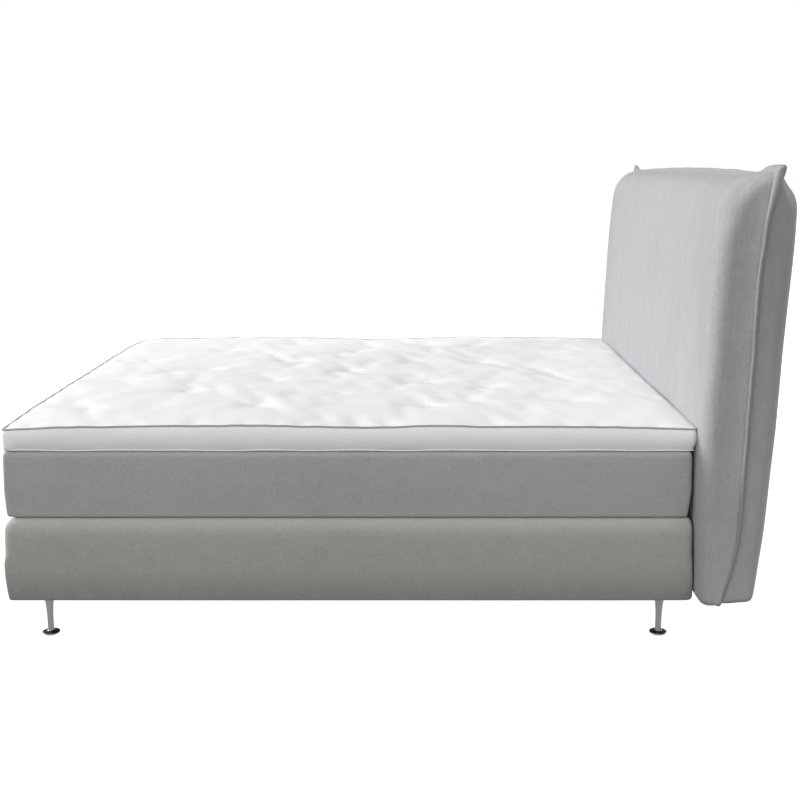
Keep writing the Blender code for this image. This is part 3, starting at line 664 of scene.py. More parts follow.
NEAR_EDGE = Table(((-1.111, -0.0105), (-1.020, -0.0055), (-0.946, -0.002), (-0.729, 0.001), (-0.397, 0.004), (-0.252, 0.001), (-0.122, -0.0025),
                   (-0.021, -0.002), (0.152, 0.0022), (0.383, -0.0010), (0.614, -0.001), (0.800, -0.005), (0.895, -0.009)), 0.035)
FAR_EDGE = Table(((-1.110, -0.014), (-1.040, -0.006), (-0.865, -0.003), (-0.603, 0.0), (-0.428, 0.001), (-0.143, -0.009),
                  (0.097, -0.004), (0.316, 0.002), (0.535, -0.001), (0.710, -0.001), (0.885, -0.007)), 0.035)


def topper_lean(x, y):
    """The foot edge sinks a little towards the middle; the head edge gives way to the headboard."""
    across = 1.0 - np.clip(np.abs(x) / T_HALF, 0, 1) ** 2.4
    along = np.exp(-(y - T_FOOT) / 0.16)
    return BELLY * (1 - (x / T_HALF) ** 2) * np.exp(-(T_HEAD - y) / 0.16), -0.0055 * across * along


def make_topper():
    cell = 0.0145
    xs = np.linspace(-T_HALF, T_HALF, int(round(2 * T_HALF / cell)) + 1)
    ys = np.linspace(T_FOOT, T_HEAD, int(round((T_HEAD - T_FOOT) / cell)) + 1)
    nx, ny = len(xs), len(ys)
    gx, gy = np.meshgrid(xs, ys, indexing="ij")
    p = np.stack([gx.ravel(), gy.ravel(), np.zeros(nx * ny)], axis=1)
    edge = np.minimum(T_HALF - np.abs(p[:, 0]), np.minimum(p[:, 1] - T_FOOT, T_HEAD - p[:, 1]))
    p = plan_round(p, T_HALF, T_FOOT, T_HEAD, 0.004)
    y0 = p[:, 1].copy()
    bow, lift = topper_lean(p[:, 0], p[:, 1])
    p[:, 1] -= bow
    rim = np.stack([p[:, 0], p[:, 1]], axis=1)
    near_rim = np.exp(-((T_HALF - p[:, 0]) / 0.22) ** 1.5) * NEAR_EDGE(p[:, 1])
    far_rim = np.exp(-((T_HALF + p[:, 0]) / 0.22) ** 1.5) * FAR_EDGE(p[:, 1])
    z = T_TOP + lift + near_rim + far_rim + 0.0007 * ripple(rim, 0.30, 5) + 0.0005 * ripple(rim, 0.10, 6)
    p[:, 1] += 0.0022 * ripple(p[:, :1], 0.10, 7) * np.exp(-(y0 - T_FOOT) / 0.05)
    z += 0.0038 * (1 - np.exp(-edge / 0.070)) + 0.002 * ease(edge / 0.3)
    for i, (tx, ty) in enumerate(TUFTS):
        dx, dy = p[:, 0] - tx, p[:, 1] - ty
        rr = np.sqrt(dx ** 2 + dy ** 2)
        z -= 0.0050 / (1 + (rr / 0.034) ** 2) ** 1.35
    p[:, 2] = z
    faces = []
    for i in range(nx - 1):
        for j in range(ny - 1):
            a = i * ny + j
            faces.append([a, a + ny, a + ny + 1, a + 1])
    ob = build("topper_case", p, faces, [MAT_TOP, MAT_BORDER])
    goal = np.where(edge < 1e-6, 1.0, 0.0)
    for tx, ty in TUFTS:
        rr = np.hypot(p[:, 0] - tx, p[:, 1] - ty)
        goal[np.argsort(rr)[:3]] = 1.0
    simulate(ob, goal, frames=12, pressure=0.20, shrink=-0.003, stiff=12, bend=1.5, cap=0.005)
    refine(ob)

    # fine pleats run out of each tuft, mostly along the bed
    me = ob.data
    q = coords(me).copy()
    rng = np.random.default_rng(11)
    for tx, ty in TUFTS:
        dx, dy = q[:, 0] - tx, q[:, 1] - ty
        near = np.nonzero((np.abs(dx) < 0.14) & (np.abs(dy) < 0.22))[0]
        ax, ay = dx[near], dy[near]
        rr = np.hypot(ax, ay)
        drop = 0.0030 * np.exp(-(rr / 0.013) ** 2)
        for _ in range(7):
            turn = rng.normal(0, 0.42) + (0 if rng.random() < 0.6 else pi)
            lx = ax * cos(turn) - ay * sin(turn)
            ly = ax * sin(turn) + ay * cos(turn)
            reach = rng.uniform(0.055, 0.12)
            offset = rng.normal(0, 0.004)
            width = 0.0075 + 0.05 * np.clip(ly, 0, 1)
            fold = np.exp(-((lx - offset - 0.10 * ly * rng.normal(0, 1)) / width) ** 2)
            drop += 0.0010 * fold * np.exp(-(np.clip(ly, 0, 1) / reach) ** 2) * (ly > 0) * ease(ly / 0.02)
        q[near, 2] -= drop
    inner = np.minimum(T_HALF - np.abs(q[:, 0]), np.minimum(q[:, 1] - T_FOOT, T_HEAD - q[:, 1]))
    q[:, 2] += 0.0004 * ripple(q[:, :2] * (1.0, 0.6), 0.085, 21) * ease(inner / 0.05)
    set_coords(me, q)

    # border and underside grow from the top sheet's own rim
    bm = bmesh.new()
    bm.from_mesh(me)
    rim_edges = [e for e in bm.edges if e.is_boundary]
    start = rim_edges[0]
    loop = [start.verts[0]]
    last, edge_now = start.verts[0], start
    while True:
        nxt = edge_now.other_vert(last)
        if nxt is loop[0]:
            break
        loop.append(nxt)
        edge_now = next(e for e in nxt.link_edges if e.is_boundary and e is not edge_now)
        last = nxt
    ring = np.array([v.co[:] for v in loop])
    turn = np.roll(ring, -1, axis=0) - ring
    area = np.sum(ring[:, 0] * np.roll(ring[:, 1], -1) - np.roll(ring[:, 0], -1) * ring[:, 1])
    if area < 0:
        loop = loop[::-1]
        ring = ring[::-1]
    t = np.roll(ring, -2, axis=0) - np.roll(ring, 2, axis=0)
    out = np.stack([t[:, 1], -t[:, 0], np.zeros(len(t))], axis=1)
    out /= np.linalg.norm(out, axis=1)[:, None]
    prev = list(loop)
    rows = 12
    wavy = 0.0011 * ripple(ring[:, :2], 0.30, 31) + 0.0006 * ripple(ring[:, :2], 0.12, 32)
    stiff = np.hypot(T_HALF - np.abs(ring[:, 0]), ring[:, 1] - T_FOOT)
    stiff = 1 - 0.85 * np.exp(-(stiff / 0.035) ** 2)
    for k in range(1, rows + 1):
        s = k / rows
        swell = (4 * s * (1 - s)) ** 0.8
        off = stiff * (0.0086 * swell + wavy * swell - 0.0062 * s ** 2) + (1 - stiff) * 0.0055 * min(1.0, s / 0.15)
        zz = ring[:, 2] + (T_LOW - ring[:, 2]) * s
        now = [bm.verts.new((ring[i, 0] + out[i, 0] * off[i], ring[i, 1] + out[i, 1] * off[i], zz[i])) for i in range(len(loop))]
        for i in range(len(loop)):
            j = (i + 1) % len(loop)
            f = bm.faces.new((prev[i], now[i], now[j], prev[j]))
            f.material_index = 1
            f.smooth = True
        prev = now
    low = [bm.verts.new((v.co.x - out[i, 0] * 0.004, v.co.y - out[i, 1] * 0.004, 0.5878)) for i, v in enumerate(prev)]
    for i in range(len(low)):
        j = (i + 1) % len(low)
        f = bm.faces.new((prev[i], low[i], low[j], prev[j]))
        f.material_index = 1
        f.smooth = True
    f = bm.faces.new(low[::-1])
    f.material_index = 1
    bm.normal_update()
    bm.to_mesh(me)
    bm.free()
    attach(ob, "topper")
    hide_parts("topper_cover", "topper_core")

    upper = ring + out * 0.0012 + np.array((0, 0, -0.0006))
    upper[:, 2] += 0.0005 * ripple(ring[:, :2], 0.09, 41)
    pipe = tube("topper_upper_piping", upper, out, 0.0029, MAT_PIPING)
    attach(pipe, "topper")
    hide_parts("topper_piping_top")
    lower = ring.copy()
    lower[:, 2] = T_LOW - 0.0003 + 0.0007 * ripple(ring[:, :2], 0.30, 42)
    lower += out * (-0.0018 * stiff)[:, None]
    pipe = tube("topper_lower_piping", lower, out, 0.0023, MAT_PIPING_PALE)
    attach(pipe, "topper")
    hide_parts("topper_piping_bottom")

    # each tuft's knot of thread, sunk in its dimple
    heights = []
    final = coords(ob.data)
    for tx, ty in TUFTS:
        k = int(np.argmin(np.hypot(final[:, 0] - tx, final[:, 1] - ty) + (final[:, 2] < 0.63) * 9))
        heights.append(final[k])
    bm = bmesh.new()
    for i, h in enumerate(heights):
        made = bmesh.ops.create_uvsphere(bm, u_segments=14, v_segments=8, radius=1.0)["verts"]
        for v in made:
            wob = 1 + 0.10 * sin(3 * v.co.x + i) * cos(4 * v.co.y)
            v.co = Vector((h[0] + v.co.x * 0.0042 * wob, h[1] + v.co.y * 0.0034 * wob, h[2] + 0.0004 + v.co.z * 0.0014))
    me = bpy.data.meshes.new("topper_tuft_knots")
    bm.to_mesh(me)
    bm.free()
    me.polygons.foreach_set("use_smooth", [True] * len(me.polygons))
    me.materials.append(MAT_THREAD_WHITE)
    knots = bpy.data.objects.new("topper_tuft_knots", me)
    SCENE.collection.objects.link(knots)
    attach(knots, "topper")


def flat_cloth(name, hx, y0, y1, z, mat, r, cell, sag=0.0, seed=1):
    """A cloth laid or tacked flat, with the faint waves it has in life."""
    xs = np.linspace(-hx, hx, int(round(2 * hx / cell)) + 1)
    ys = np.linspace(y0, y1, int(round((y1 - y0) / cell)) + 1)
    nx, ny = len(xs), len(ys)
    gx, gy = np.meshgrid(xs, ys, indexing="ij")
    p = np.stack([gx.ravel(), gy.ravel(), np.full(nx * ny, float(z))], axis=1)
    inner = np.minimum(hx - np.abs(p[:, 0]), np.minimum(p[:, 1] - y0, y1 - p[:, 1]))
    p = plan_round(p, hx, y0, y1, r)
    p[:, 2] += sag * ease(inner / 0.12) * (0.5 + 0.5 * ripple(p[:, :2], 0.35, seed))
    faces = []
    for i in range(nx - 1):
        for j in range(ny - 1):
            a = i * ny + j
            faces.append([a, a + 1, a + ny + 1, a + ny])
    return build(name, p, faces, mat)


make_topper()
under = flat_cloth("topper_underside", 0.888, -1.1020, 0.8800, 0.5874, MAT_UNDER, 0.030, 0.05, 0.0, 3)
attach(under, "topper")
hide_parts("topper_bottom_cloth")


# ----------------------------------------------------------------- mattress
def make_mattress():
    lo = np.array((-0.9000, -1.1205, 0.3852))
    hi = np.array((0.9000, 0.8865, 0.5865))
    near = (0.002, 0.005, 0.010, 0.018, 0.030, 0.048)
    xs = lines(lo[0], hi[0], 0.030, near, near)
    ys = lines(lo[1], hi[1], 0.030, near, near)
    zs = lines(lo[2], hi[2], 0.022, (0.0015, 0.004, 0.009, 0.017, 0.028), (0.0015, 0.004, 0.008, 0.0135, 0.022))
    p, faces = box_grid(xs, ys, zs)
    ends = 1 - ease(np.minimum(p[:, 1] - lo[1], hi[1] - p[:, 1]) / 0.06)
    high = p[:, 2] > (lo[2] + hi[2]) / 2
    r = np.empty_like(p)
    r[:, 0] = np.where(high, 0.0145, 0.0080)
    r[:, 1] = np.where(high, 0.0110, 0.0120)
    r[:, 2] = np.where(high, 0.0215, 0.0072 + 0.0038 * ends)
    q, d = rounded(p, lo, hi, r)
    t = (q[:, 2] - lo[2]) / (hi[2] - lo[2])
    tuck_head = 0.0045 * (1 - ease((t - 0.02) / 0.40)) * (1 - ease((hi[1] - q[:, 1]) / 0.08))
    q[:, 1] -= tuck_head
    side = ease((np.abs(q[:, 0]) - (hi[0] - 0.05)) / 0.05)
    belly = np.clip(4 * t * (1 - t), 0, 1) ** 0.8
    q[:, 0] += np.sign(q[:, 0]) * side * (0.0022 * belly - 0.0035 * (1 - ease(t / 0.5)) + 0.0010 * ripple(q[:, 1:], 0.45, 51) * belly)
    q[:, 0] += np.sign(q[:, 0]) * side * 0.0007 * ripple(q[:, 1:] * (1.0, 0.4), 0.16, 54) * belly
    end = ease((np.abs(q[:, 1] - (lo[1] + hi[1]) / 2) - 0.95) / 0.05)
    q[:, 1] += np.sign(q[:, 1]) * end * (0.0022 * belly + 0.0010 * ripple(q[:, [0, 2]], 0.45, 52) * belly)
    ob = build("mattress_case", q, faces, MAT_UPPER)
    refine(ob)
    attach(ob, "mattress")
    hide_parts("mattress_cover")


make_mattress()
lining = flat_cloth("mattress_lining", 0.855, -1.055, 0.835, 0.38485, MAT_LINING, 0.030, 0.05)
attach(lining, "mattress")
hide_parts("mattress_bottom_cloth")


# --------------------------------------------------------------------- base
def make_base():
    lo = np.array((-0.9050, -1.1175, 0.1340))
    hi = np.array((0.9050, 0.8955, 0.3840))
    near = (0.0015, 0.004, 0.009, 0.016, 0.026, 0.042, 0.062)
    xs = lines(lo[0], hi[0], 0.032, near, near)
    ys = lines(lo[1], hi[1], 0.032, near, near)
    zs = lines(lo[2], hi[2], 0.021, (0.0015, 0.004, 0.009, 0.017), (0.0015, 0.004, 0.009, 0.018, 0.030, 0.046, 0.064))
    p, faces = box_grid(xs, ys, zs)
    high = p[:, 2] > (lo[2] + hi[2]) / 2
    to_foot = 1 - ease((p[:, 1] - lo[1]) / 0.13)
    to_head = 1 - ease((hi[1] - p[:, 1]) / 0.10)
    ends = np.maximum(to_foot, to_head)
    r = np.empty_like(p)
    r[:, 0] = np.where(high, 0.0190, 0.0060)
    r[:, 1] = np.where(high, 0.016 + 0.018 * to_foot, 0.006 + 0.003 * to_foot + 0.012 * to_head)
    r[:, 2] = np.where(high, 0.0420 - 0.006 * to_foot, 0.0060 + 0.006 * to_head)
    q, d = rounded(p, lo, hi, r)
    t = (q[:, 2] - lo[2]) / (hi[2] - lo[2])
    arch = np.clip(1 - (2 * t - 1) ** 2, 0, 1)
    broad = np.clip(1 - np.abs(2 * t - 1) ** 2.4, 0, 1)
    side = ease((np.abs(q[:, 0]) - (hi[0] - 0.04)) / 0.04)
    tone = 0.0010 * ripple(q[:, 1:], 0.50, 61) + 0.0008 * ripple(q[:, 1:] * (1.0, 0.35), 0.17, 62)
    q[:, 0] += np.sign(q[:, 0]) * side * (0.0150 * broad - 0.0015 + tone * arch ** 0.5)
    mid = (lo[1] + hi[1]) / 2
    end = ease((np.abs(q[:, 1] - mid) - 0.966) / 0.04)
    tone = 0.0008 * ripple(q[:, [0, 2]], 0.50, 63)
    fuller = np.where(q[:, 1] < mid, 0.0142 * (1 - np.abs((t - 0.50) / 0.72) ** 3.5) - 0.0005, 0.0020 + 0.0065 * (1 - ease(t / 0.55)))
    q[:, 1] += np.sign(q[:, 1] - mid) * end * (fuller + tone * arch ** 0.5)
    # the cloth's lower edge hangs a little past the frame, outside the legs
    reach = np.maximum(np.abs(q[:, 0]) - 0.868, np.maximum(lo[1] + 0.045 - q[:, 1], q[:, 1] - hi[1] + 0.034))
    q[:, 2] -= 0.0042 * ease(reach / 0.022) * (1 - ease((q[:, 2] - lo[2]) / 0.03))
    under = (p[:, 2] < lo[2] + 1e-6) & (np.abs(p[:, 0]) < hi[0] - 0.10) & (p[:, 1] > lo[1] + 0.10) & (p[:, 1] < hi[1] - 0.10)
    q[under, 2] += 0.0012
    ob = build("base_case", q, faces, MAT_BASE)
    refine(ob)
    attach(ob, "base")
    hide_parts("base_cover")


make_base()
dust = flat_cloth("base_lining", 0.868, -1.080, 0.858, 0.1337, MAT_LINING, 0.030, 0.05, 0.0003, 9)
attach(dust, "base")
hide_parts("base_dust_cover")


# ---------------------------------------------------------------- headboard
SEAM = Table(((0.140, 0.9610), (0.167, 0.9645), (0.200, 0.9745), (0.268, 0.9915), (0.361, 1.0035), (0.456, 1.0085),
              (0.558, 1.0105), (0.653, 1.0130), (0.753, 1.0150), (0.844, 1.0175), (0.945, 1.0190), (1.064, 1.0215),
              (1.156, 1.0265), (1.242, 1.0345), (1.310, 1.0455), (1.404, 1.0600)), 0.022)
FACE = Table(((0.140, 0.9080), (0.210, 0.9050), (0.280, 0.9015), (0.370, 0.8995), (0.470, 0.8970), (0.560, 0.8970), (0.660, 0.8975), (0.745, 0.8990),
              (0.840, 0.9030), (0.951, 0.9075), (1.060, 0.9130), (1.147, 0.9180), (1.221, 0.9235), (1.300, 0.9300), (1.404, 0.9400)))
REAR = Table(((0.140, 1.0645), (0.200, 1.0745), (0.280, 1.0880), (0.370, 1.0970), (0.470, 1.1035), (0.590, 1.1120), (0.660, 1.1165),
              (0.900, 1.1220), (1.020, 1.1275), (1.114, 1.1330), (1.190, 1.1365), (1.260, 1.1375), (1.315, 1.1370), (1.404, 1.1350)))
HB_HALF, HB_LOW, HB_HIGH = 0.976, 0.143, 1.379


def far_set(x, z):
    """The far upper corner sits a little further forward than the near one."""
    return -0.020 * ease((-x - 0.70) / 0.30) * ease((z - 1.22) / 0.16)


def arch_down(x):
    """How far the upper edge has come down here from its height in the middle."""
    return np.where(x > 0, 0.0097 * (np.abs(x) / 0.79) ** 2.2, 0.0120 * (np.abs(x) / 0.97) ** 2)


def make_cushion(name, side, depth_of, low, high, nodes):
    """One half of the headboard's body, from the seam plane to its face."""
    cell = 0.0145
    xs = np.linspace(-HB_HALF, HB_HALF, int(round(2 * HB_HALF / cell)) + 1)
    zs = np.linspace(low, high, int(round((high - low) / cell)) + 1)
    ds = np.array((0.0, 0.05, 0.11, 0.20, 0.32, 0.46, 0.60, 0.73, 0.87, 1.0))
    g, faces = box_grid(xs, ds, zs, skip=("foot",))
    deep = depth_of(g[:, 2])
    p = np.stack([g[:, 0], g[:, 1] * deep, g[:, 2]], axis=1)
    lowness = 1 - ease((g[:, 2] - low) / 0.16)
    topness = ease((g[:, 2] - 1.17) / 0.21)
    outward_face = ease(g[:, 1] / 0.80)
    r = np.empty_like(p)
    if side < 0:
        r[:, 0] = 0.020 + (0.024 + 0.030 * topness - 0.010 * lowness) * outward_face
        r[:, 2] = 0.018 + (0.080 - 0.072 * lowness) * outward_face
        r[:, 1] = np.minimum(0.038 - 0.012 * lowness + 0.034 * topness, deep * 0.86)
    else:
        r[:, 0] = 0.020 + (0.044 - 0.022 * lowness) * outward_face
        r[:, 2] = 0.018 + (0.074 - 0.070 * lowness) * outward_face
        r[:, 1] = np.minimum(0.054 - 0.034 * lowness + 0.018 * topness, deep * 0.86)
    lo = np.stack([np.full(len(p), -HB_HALF), np.full(len(p), -1.0), np.full(len(p), low)], axis=1)
    hi = np.stack([np.full(len(p), HB_HALF), deep, np.full(len(p), high)], axis=1)
    q, d = rounded(p, lo, hi, r)
    plane = np.stack([d[:, 0], d[:, 2]], axis=1)
    size = np.linalg.norm(plane, axis=1)
    plane = np.where(size[:, None] > 1e-6, plane / np.maximum(size, 1e-9)[:, None], 0.0)
    depth = q[:, 1]
    corner = np.hypot(HB_HALF - np.abs(q[:, 0]), high - q[:, 2])
    q[:, 2] += 0.013 * np.exp(-(corner / 0.075) ** 1.5) * np.exp(-(depth / 0.055) ** 1.4)
    along = q[:, 0] * (np.abs(plane[:, 1]) > 0.7) + q[:, 2] * (np.abs(plane[:, 1]) <= 0.7)
    gather = 0.0009 * ripple(np.stack([along, side * np.ones(len(q))], axis=1), 0.13, 71 + side)
    gather = gather * np.exp(-(depth / 0.05) ** 2) * np.minimum(1, depth / 0.01)
    # the sides flare towards the seam; behind it the cloth dips into a groove
    groove = (0.0012 if side < 0 else 0.0070) * np.exp(-(depth / 0.0085) ** 1.3)
    pinch = 0.0045 * np.exp(-(depth / 0.0095) ** 1.2) + 0.0030 * np.exp(-depth / 0.030)
    flare = (0.0210 if side < 0 else 0.0180) * np.exp(-(depth / 0.052) ** 1.5)
    if side < 0:
        flare = 0.88 * flare + 0.0055 * np.exp(-(depth / 0.020) ** 1.6)
        pinch = pinch + 0.0070 * np.exp(-(depth / 0.024) ** 1.4) * (plane[:, 1] < 0)
    q[:, 0] += plane[:, 0] * (flare - groove - gather)
    q[:, 2] -= plane[:, 1] * (pinch + gather)
    if side < 0:
        hold = np.where(q[:, 0] > 0, 1 - ease((np.abs(q[:, 0]) - 0.82) / 0.12), 0.5)
        q[:, 2] -= (0.0035 + arch_down(q[:, 0]) * hold) * ease((q[:, 2] - 1.17) / 0.19)
    crown = (0.004 if side > 0 else BELLY) * (1 - (q[:, 0] / HB_HALF) ** 2)
    if side < 0:
        crown = crown * ease((q[:, 2] - 0.565) / 0.075) * (1 - ease((q[:, 2] - 1.10) / 0.20))
    flat = np.clip(depth / deep, 0, 1) ** 2
    wavy = 0.0014 * ripple(q[:, [0, 2]], 0.55, 81 + side) * flat
    y = SEAM(q[:, 2]) - 0.1 * far_set(q[:, 0], q[:, 2]) + side * (depth + wavy + crown * flat)
    q[:, 1] = y
    if side < 0:
        faces = [f[::-1] for f in faces]
    ob = build(name, q, faces, MAT_HEAD if side < 0 else MAT_HEAD_BACK)
    goal = np.where(g[:, 1] < 1e-6, 1.0, 0.55)
    simulate(ob, goal, frames=10, pressure=0.9, shrink=-0.008, stiff=12, bend=2.5, cap=0.008)
    refine(ob)
    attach(ob, "base")
    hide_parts(*nodes)
    return ob


make_cushion("headboard_front_cushion", -1, lambda z: SEAM(z) - FACE(z), HB_LOW - 0.008, HB_HIGH,
             ("headboard_front_cover", "headboard_front_pad", "headboard_edge_pad"))
make_cushion("headboard_back_cushion", 1, lambda z: REAR(z) - SEAM(z), HB_LOW + 0.001, HB_HIGH - 0.010,
             ("headboard_back_cover", "headboard_back_pad"))


def outline(hw, z0, z1, rt, rl, n_x, n_z, c):
    """The headboard's outline from the front, anticlockwise from the lower left."""
    pts = []

    def line(ax, az, bx, bz, n):
        for i in range(n):
            t = i / n
            pts.append((ax + (bx - ax) * t, az + (bz - az) * t))

    def corner(cx, cz, r, a0):
        for k in range(c):
            a = a0 + pi / 2 * k / c
            pts.append((cx + r * cos(a), cz + r * sin(a)))

    line(-hw + rl, z0, hw - rl, z0, n_x)
    corner(hw - rl, z0 + rl, rl, -pi / 2)
    line(hw, z0 + rl, hw, z1 - rt, n_z)
    corner(hw - rt, z1 - rt, rt, 0)
    line(hw - rt, z1, -hw + rt, z1, n_x)
    corner(-hw + rt, z1 - rt, rt, pi / 2)
    line(-hw, z1 - rt, -hw, z0 + rl, n_z)
    corner(-hw + rl, z0 + rl, rl, pi)
    return np.array(pts)


def make_flange():
    """The sewn edge where both halves meet: a flat wadded fin with raised upper corners."""
    n_x, n_z, c = 200, 118, 12
    inner = outline(HB_HALF + 0.002, HB_LOW + 0.012, HB_HIGH - 0.024, 0.022, 0.024, n_x, n_z, c)
    rim = 1.0085
    outer = outline(rim, 0.1410, 1.3925, 0.010, 0.028, n_x, n_z, c)
    g = ease((outer[:, 1] - 0.150) / 0.30)
    narrow = (HB_HALF + 0.0235) + (rim - HB_HALF - 0.0235) * g
    outer[:, 0] *= narrow / rim
    dist = np.hypot(rim - np.abs(outer[:, 0]), 1.3925 - outer[:, 1])
    ear = np.exp(-(dist / np.where(outer[:, 0] > 0, 0.076, 0.052)) ** 1.6)
    blunt = np.exp(-((rim - np.abs(outer[:, 0])) / 0.130) ** 5) * ease((outer[:, 1] - 1.33) / 0.05)
    outer[:, 1] += 0.0105 * np.where(outer[:, 0] > 0, blunt, ear)
    outer[:, 0] += np.sign(outer[:, 0]) * 0.008 * ear
    # the top edge arches down from the middle towards both ears
    on_top = (outer[:, 1] > 1.33) & (np.abs(outer[:, 0]) < 0.998)
    away = np.abs(outer[:, 0])
    dip = arch_down(outer[:, 0]) * (1 - np.where(outer[:, 0] > 0, ease((away - 0.80) / 0.10), ease((away - 0.95) / 0.045)))
    outer[:, 1] += np.where(on_top, 0.0006 * ripple(outer[:, :1], 0.30, 91) * (1 - ease((away - 0.90) / 0.07)) - dip, 0)
    on_side = (outer[:, 1] > 0.30) & (outer[:, 1] < 1.30)
    outer[:, 0] += np.where(on_side, np.sign(outer[:, 0]) * 0.0014 * ripple(outer[:, 1:], 0.22, 92), 0)
    n = len(inner)
    track = np.stack([inner[:, 0] * 1.0, inner[:, 1]], axis=1)
    sway = 0.0016 * ripple(track, 0.30, 93) + 0.0008 * ripple(track, 0.12, 94)
    prof = [(0.0, 0.95), (0.25, 1.02), (0.45, 1.03), (0.57, 0.90), (0.66, 1.0), (0.80, 0.96), (0.91, 0.76), (0.975, 0.42), (1.0, 0.0)]
    half = 0.0058
    section = [(a, -b) for a, b in prof] + [(a, b) for a, b in prof[-2::-1]]
    verts, faces = [], []
    puffed = np.where(outer[:, 0] > 0, ear, 0.25 * ear)
    skin = np.empty(n)
    for i in range(n):
        width = float(np.hypot(*(outer[i] - inner[i])))
        slim = min(1.0, 0.60 + width / 0.06)
        skin[i] = 0.955 * (half * slim + 0.0070 * puffed[i])
        for a, b in section:
            x = inner[i, 0] + (outer[i, 0] - inner[i, 0]) * a
            z = inner[i, 1] + (outer[i, 1] - inner[i, 1]) * a
            y = float(SEAM(z)) + float(far_set(x, z)) * (0.3 + 1.1 * a) + sway[i] * a ** 1.3 * min(1.0, width / 0.04)
            y += 0.0090 * puffed[i] * a + b * (half * slim + 0.0070 * puffed[i])
            verts.append((x, y, z))
    m = len(section)
    for i in range(n):
        j = (i + 1) % n
        for k in range(m):
            w = (k + 1) % m
            faces.append([i * m + k, i * m + w, j * m + w, j * m + k])
    ob = outward(build("headboard_flange", verts, faces, MAT_HEAD_TRIM))
    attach(ob, "base")

    # the row of stitches along the fin, seen on both of its faces
    bm = bmesh.new()
    at = 0.52
    line_x = inner[:, 0] + (outer[:, 0] - inner[:, 0]) * at
    line_z = inner[:, 1] + (outer[:, 1] - inner[:, 1]) * at
    line_y = SEAM(line_z) + far_set(line_x, line_z) * (0.3 + 1.1 * at) + sway * at ** 1.3 + 0.0090 * puffed * at
    path = np.stack([line_x, line_y, line_z], axis=1)
    steps = np.linalg.norm(np.roll(path, -1, axis=0) - path, axis=1)
    run = np.concatenate([[0], np.cumsum(steps)])
    closed = np.vstack([path, path[:1]])
    total = run[-1]
    skin = np.append(skin, skin[0])
    pitch, length = 0.0125, 0.0085
    for side in (-1, 1):
        for s in np.arange(0, total, pitch):
            ends = [np.array([np.interp(s + u, run, closed[:, c2]) for c2 in range(3)]) for u in (0.0, length * 0.5, length)]
            if ends[0][2] < 0.22 or s + length > total:
                continue
            rings = []
            tangent = ends[2] - ends[0]
            tangent /= np.linalg.norm(tangent)
            lift = np.array((0, side, 0))
            across = np.cross(tangent, lift)
            across /= np.linalg.norm(across)
            for e, u, rad, rise in zip(ends, (0.0, length * 0.5, length), (0.00035, 0.00055, 0.00035), (-0.0004, 0.0002, -0.0004)):
                ring = []
                height = float(np.interp(s + u, run, skin)) + rise
                for k in range(6):
                    a = 2 * pi * k / 6
                    ring.append(bm.verts.new(tuple(e + lift * height + rad * (across * cos(a) + lift * sin(a)))))
                rings.append(ring)
            for r0, r1 in zip(rings[:-1], rings[1:]):
                for k in range(6):
                    w = (k + 1) % 6
                    bm.faces.new((r0[k], r0[w], r1[w], r1[k]))
            bm.faces.new(rings[0][::-1])
            bm.faces.new(rings[-1])
    bmesh.ops.recalc_face_normals(bm, faces=bm.faces[:])
    me = bpy.data.meshes.new("headboard_stitches")
    bm.to_mesh(me)
    bm.free()
    me.polygons.foreach_set("use_smooth", [True] * len(me.polygons))
    me.materials.append(MAT_THREAD)
    stitches = bpy.data.objects.new("headboard_stitches", me)
    SCENE.collection.objects.link(stitches)
    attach(stitches, "base")


make_flange()


# --------------------------------------------------------------------- legs
def leg_profile():
    """A slim shaft flaring into a trumpet above and into a thin disc below."""
    rows = [(0.0010, 0.0033), (0.0150, 0.0031), (0.0240, 0.0031), (0.0255, 0.0034), (0.0262, 0.0043), (0.0264, 0.0055),
            (0.0262, 0.0066), (0.0256, 0.0074), (0.0244, 0.0078), (0.0200, 0.0081), (0.0160, 0.0084), (0.0138, 0.0089),
            (0.0121, 0.0097), (0.0108, 0.0109), (0.0099, 0.0127), (0.0094, 0.0150), (0.0092, 0.0185)]
    for z in np.linspace(0.024, 0.131, 34):
        rows.append((0.0092 if z < 0.045 else 0.0092 + 0.0078 * ((z - 0.045) / 0.086) ** 1.9, float(z)))
    rows += [(0.0219, 0.1330), (0.0217, 0.1336), (0.0205, 0.1338), (0.0010, 0.1338)]
    return rows


GLIDE = [(0.0010, 0.0001), (0.0195, 0.0001), (0.0209, 0.0004), (0.0215, 0.0011), (0.0215, 0.0026), (0.0210, 0.0030), (0.0010, 0.0030)]
for end, ly in (("foot", -1.0305), ("head", 0.8205)):
    for hand, lx in (("left", -0.832), ("right", 0.832)):
        leg = turned(f"leg_{end}_{hand}_turned", leg_profile(), lx, ly, MAT_CHROME)
        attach(leg, "base")
        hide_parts(f"leg_{end}_{hand}")
        glide = turned(f"leg_{end}_{hand}_glide", GLIDE, lx, ly, MAT_PLASTIC)
        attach(glide, "base")
        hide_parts(f"leg_glide_{end}_{hand}")
centre = turned("centre_leg_turned", [(0.0010, 0.0045), (0.0188, 0.0045), (0.0197, 0.0049), (0.0200, 0.0057)]
                + [(0.0200, float(z)) for z in np.linspace(0.012, 0.126, 12)]
                + [(0.0200, 0.1316), (0.0197, 0.1332), (0.0188, 0.1337), (0.0010, 0.1337)], 0.0, -0.111, MAT_PLASTIC)
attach(centre, "base")
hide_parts("centre_leg")
centre = turned("centre_leg_foot", [(0.0010, 0.0001), (0.0165, 0.0001), (0.0183, 0.0007), (0.0190, 0.0018), (0.0190, 0.0034),
                                    (0.0184, 0.0040), (0.0010, 0.0041)], 0.0, -0.111, MAT_PLASTIC)
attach(centre, "base")
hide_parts("centre_leg_glide")

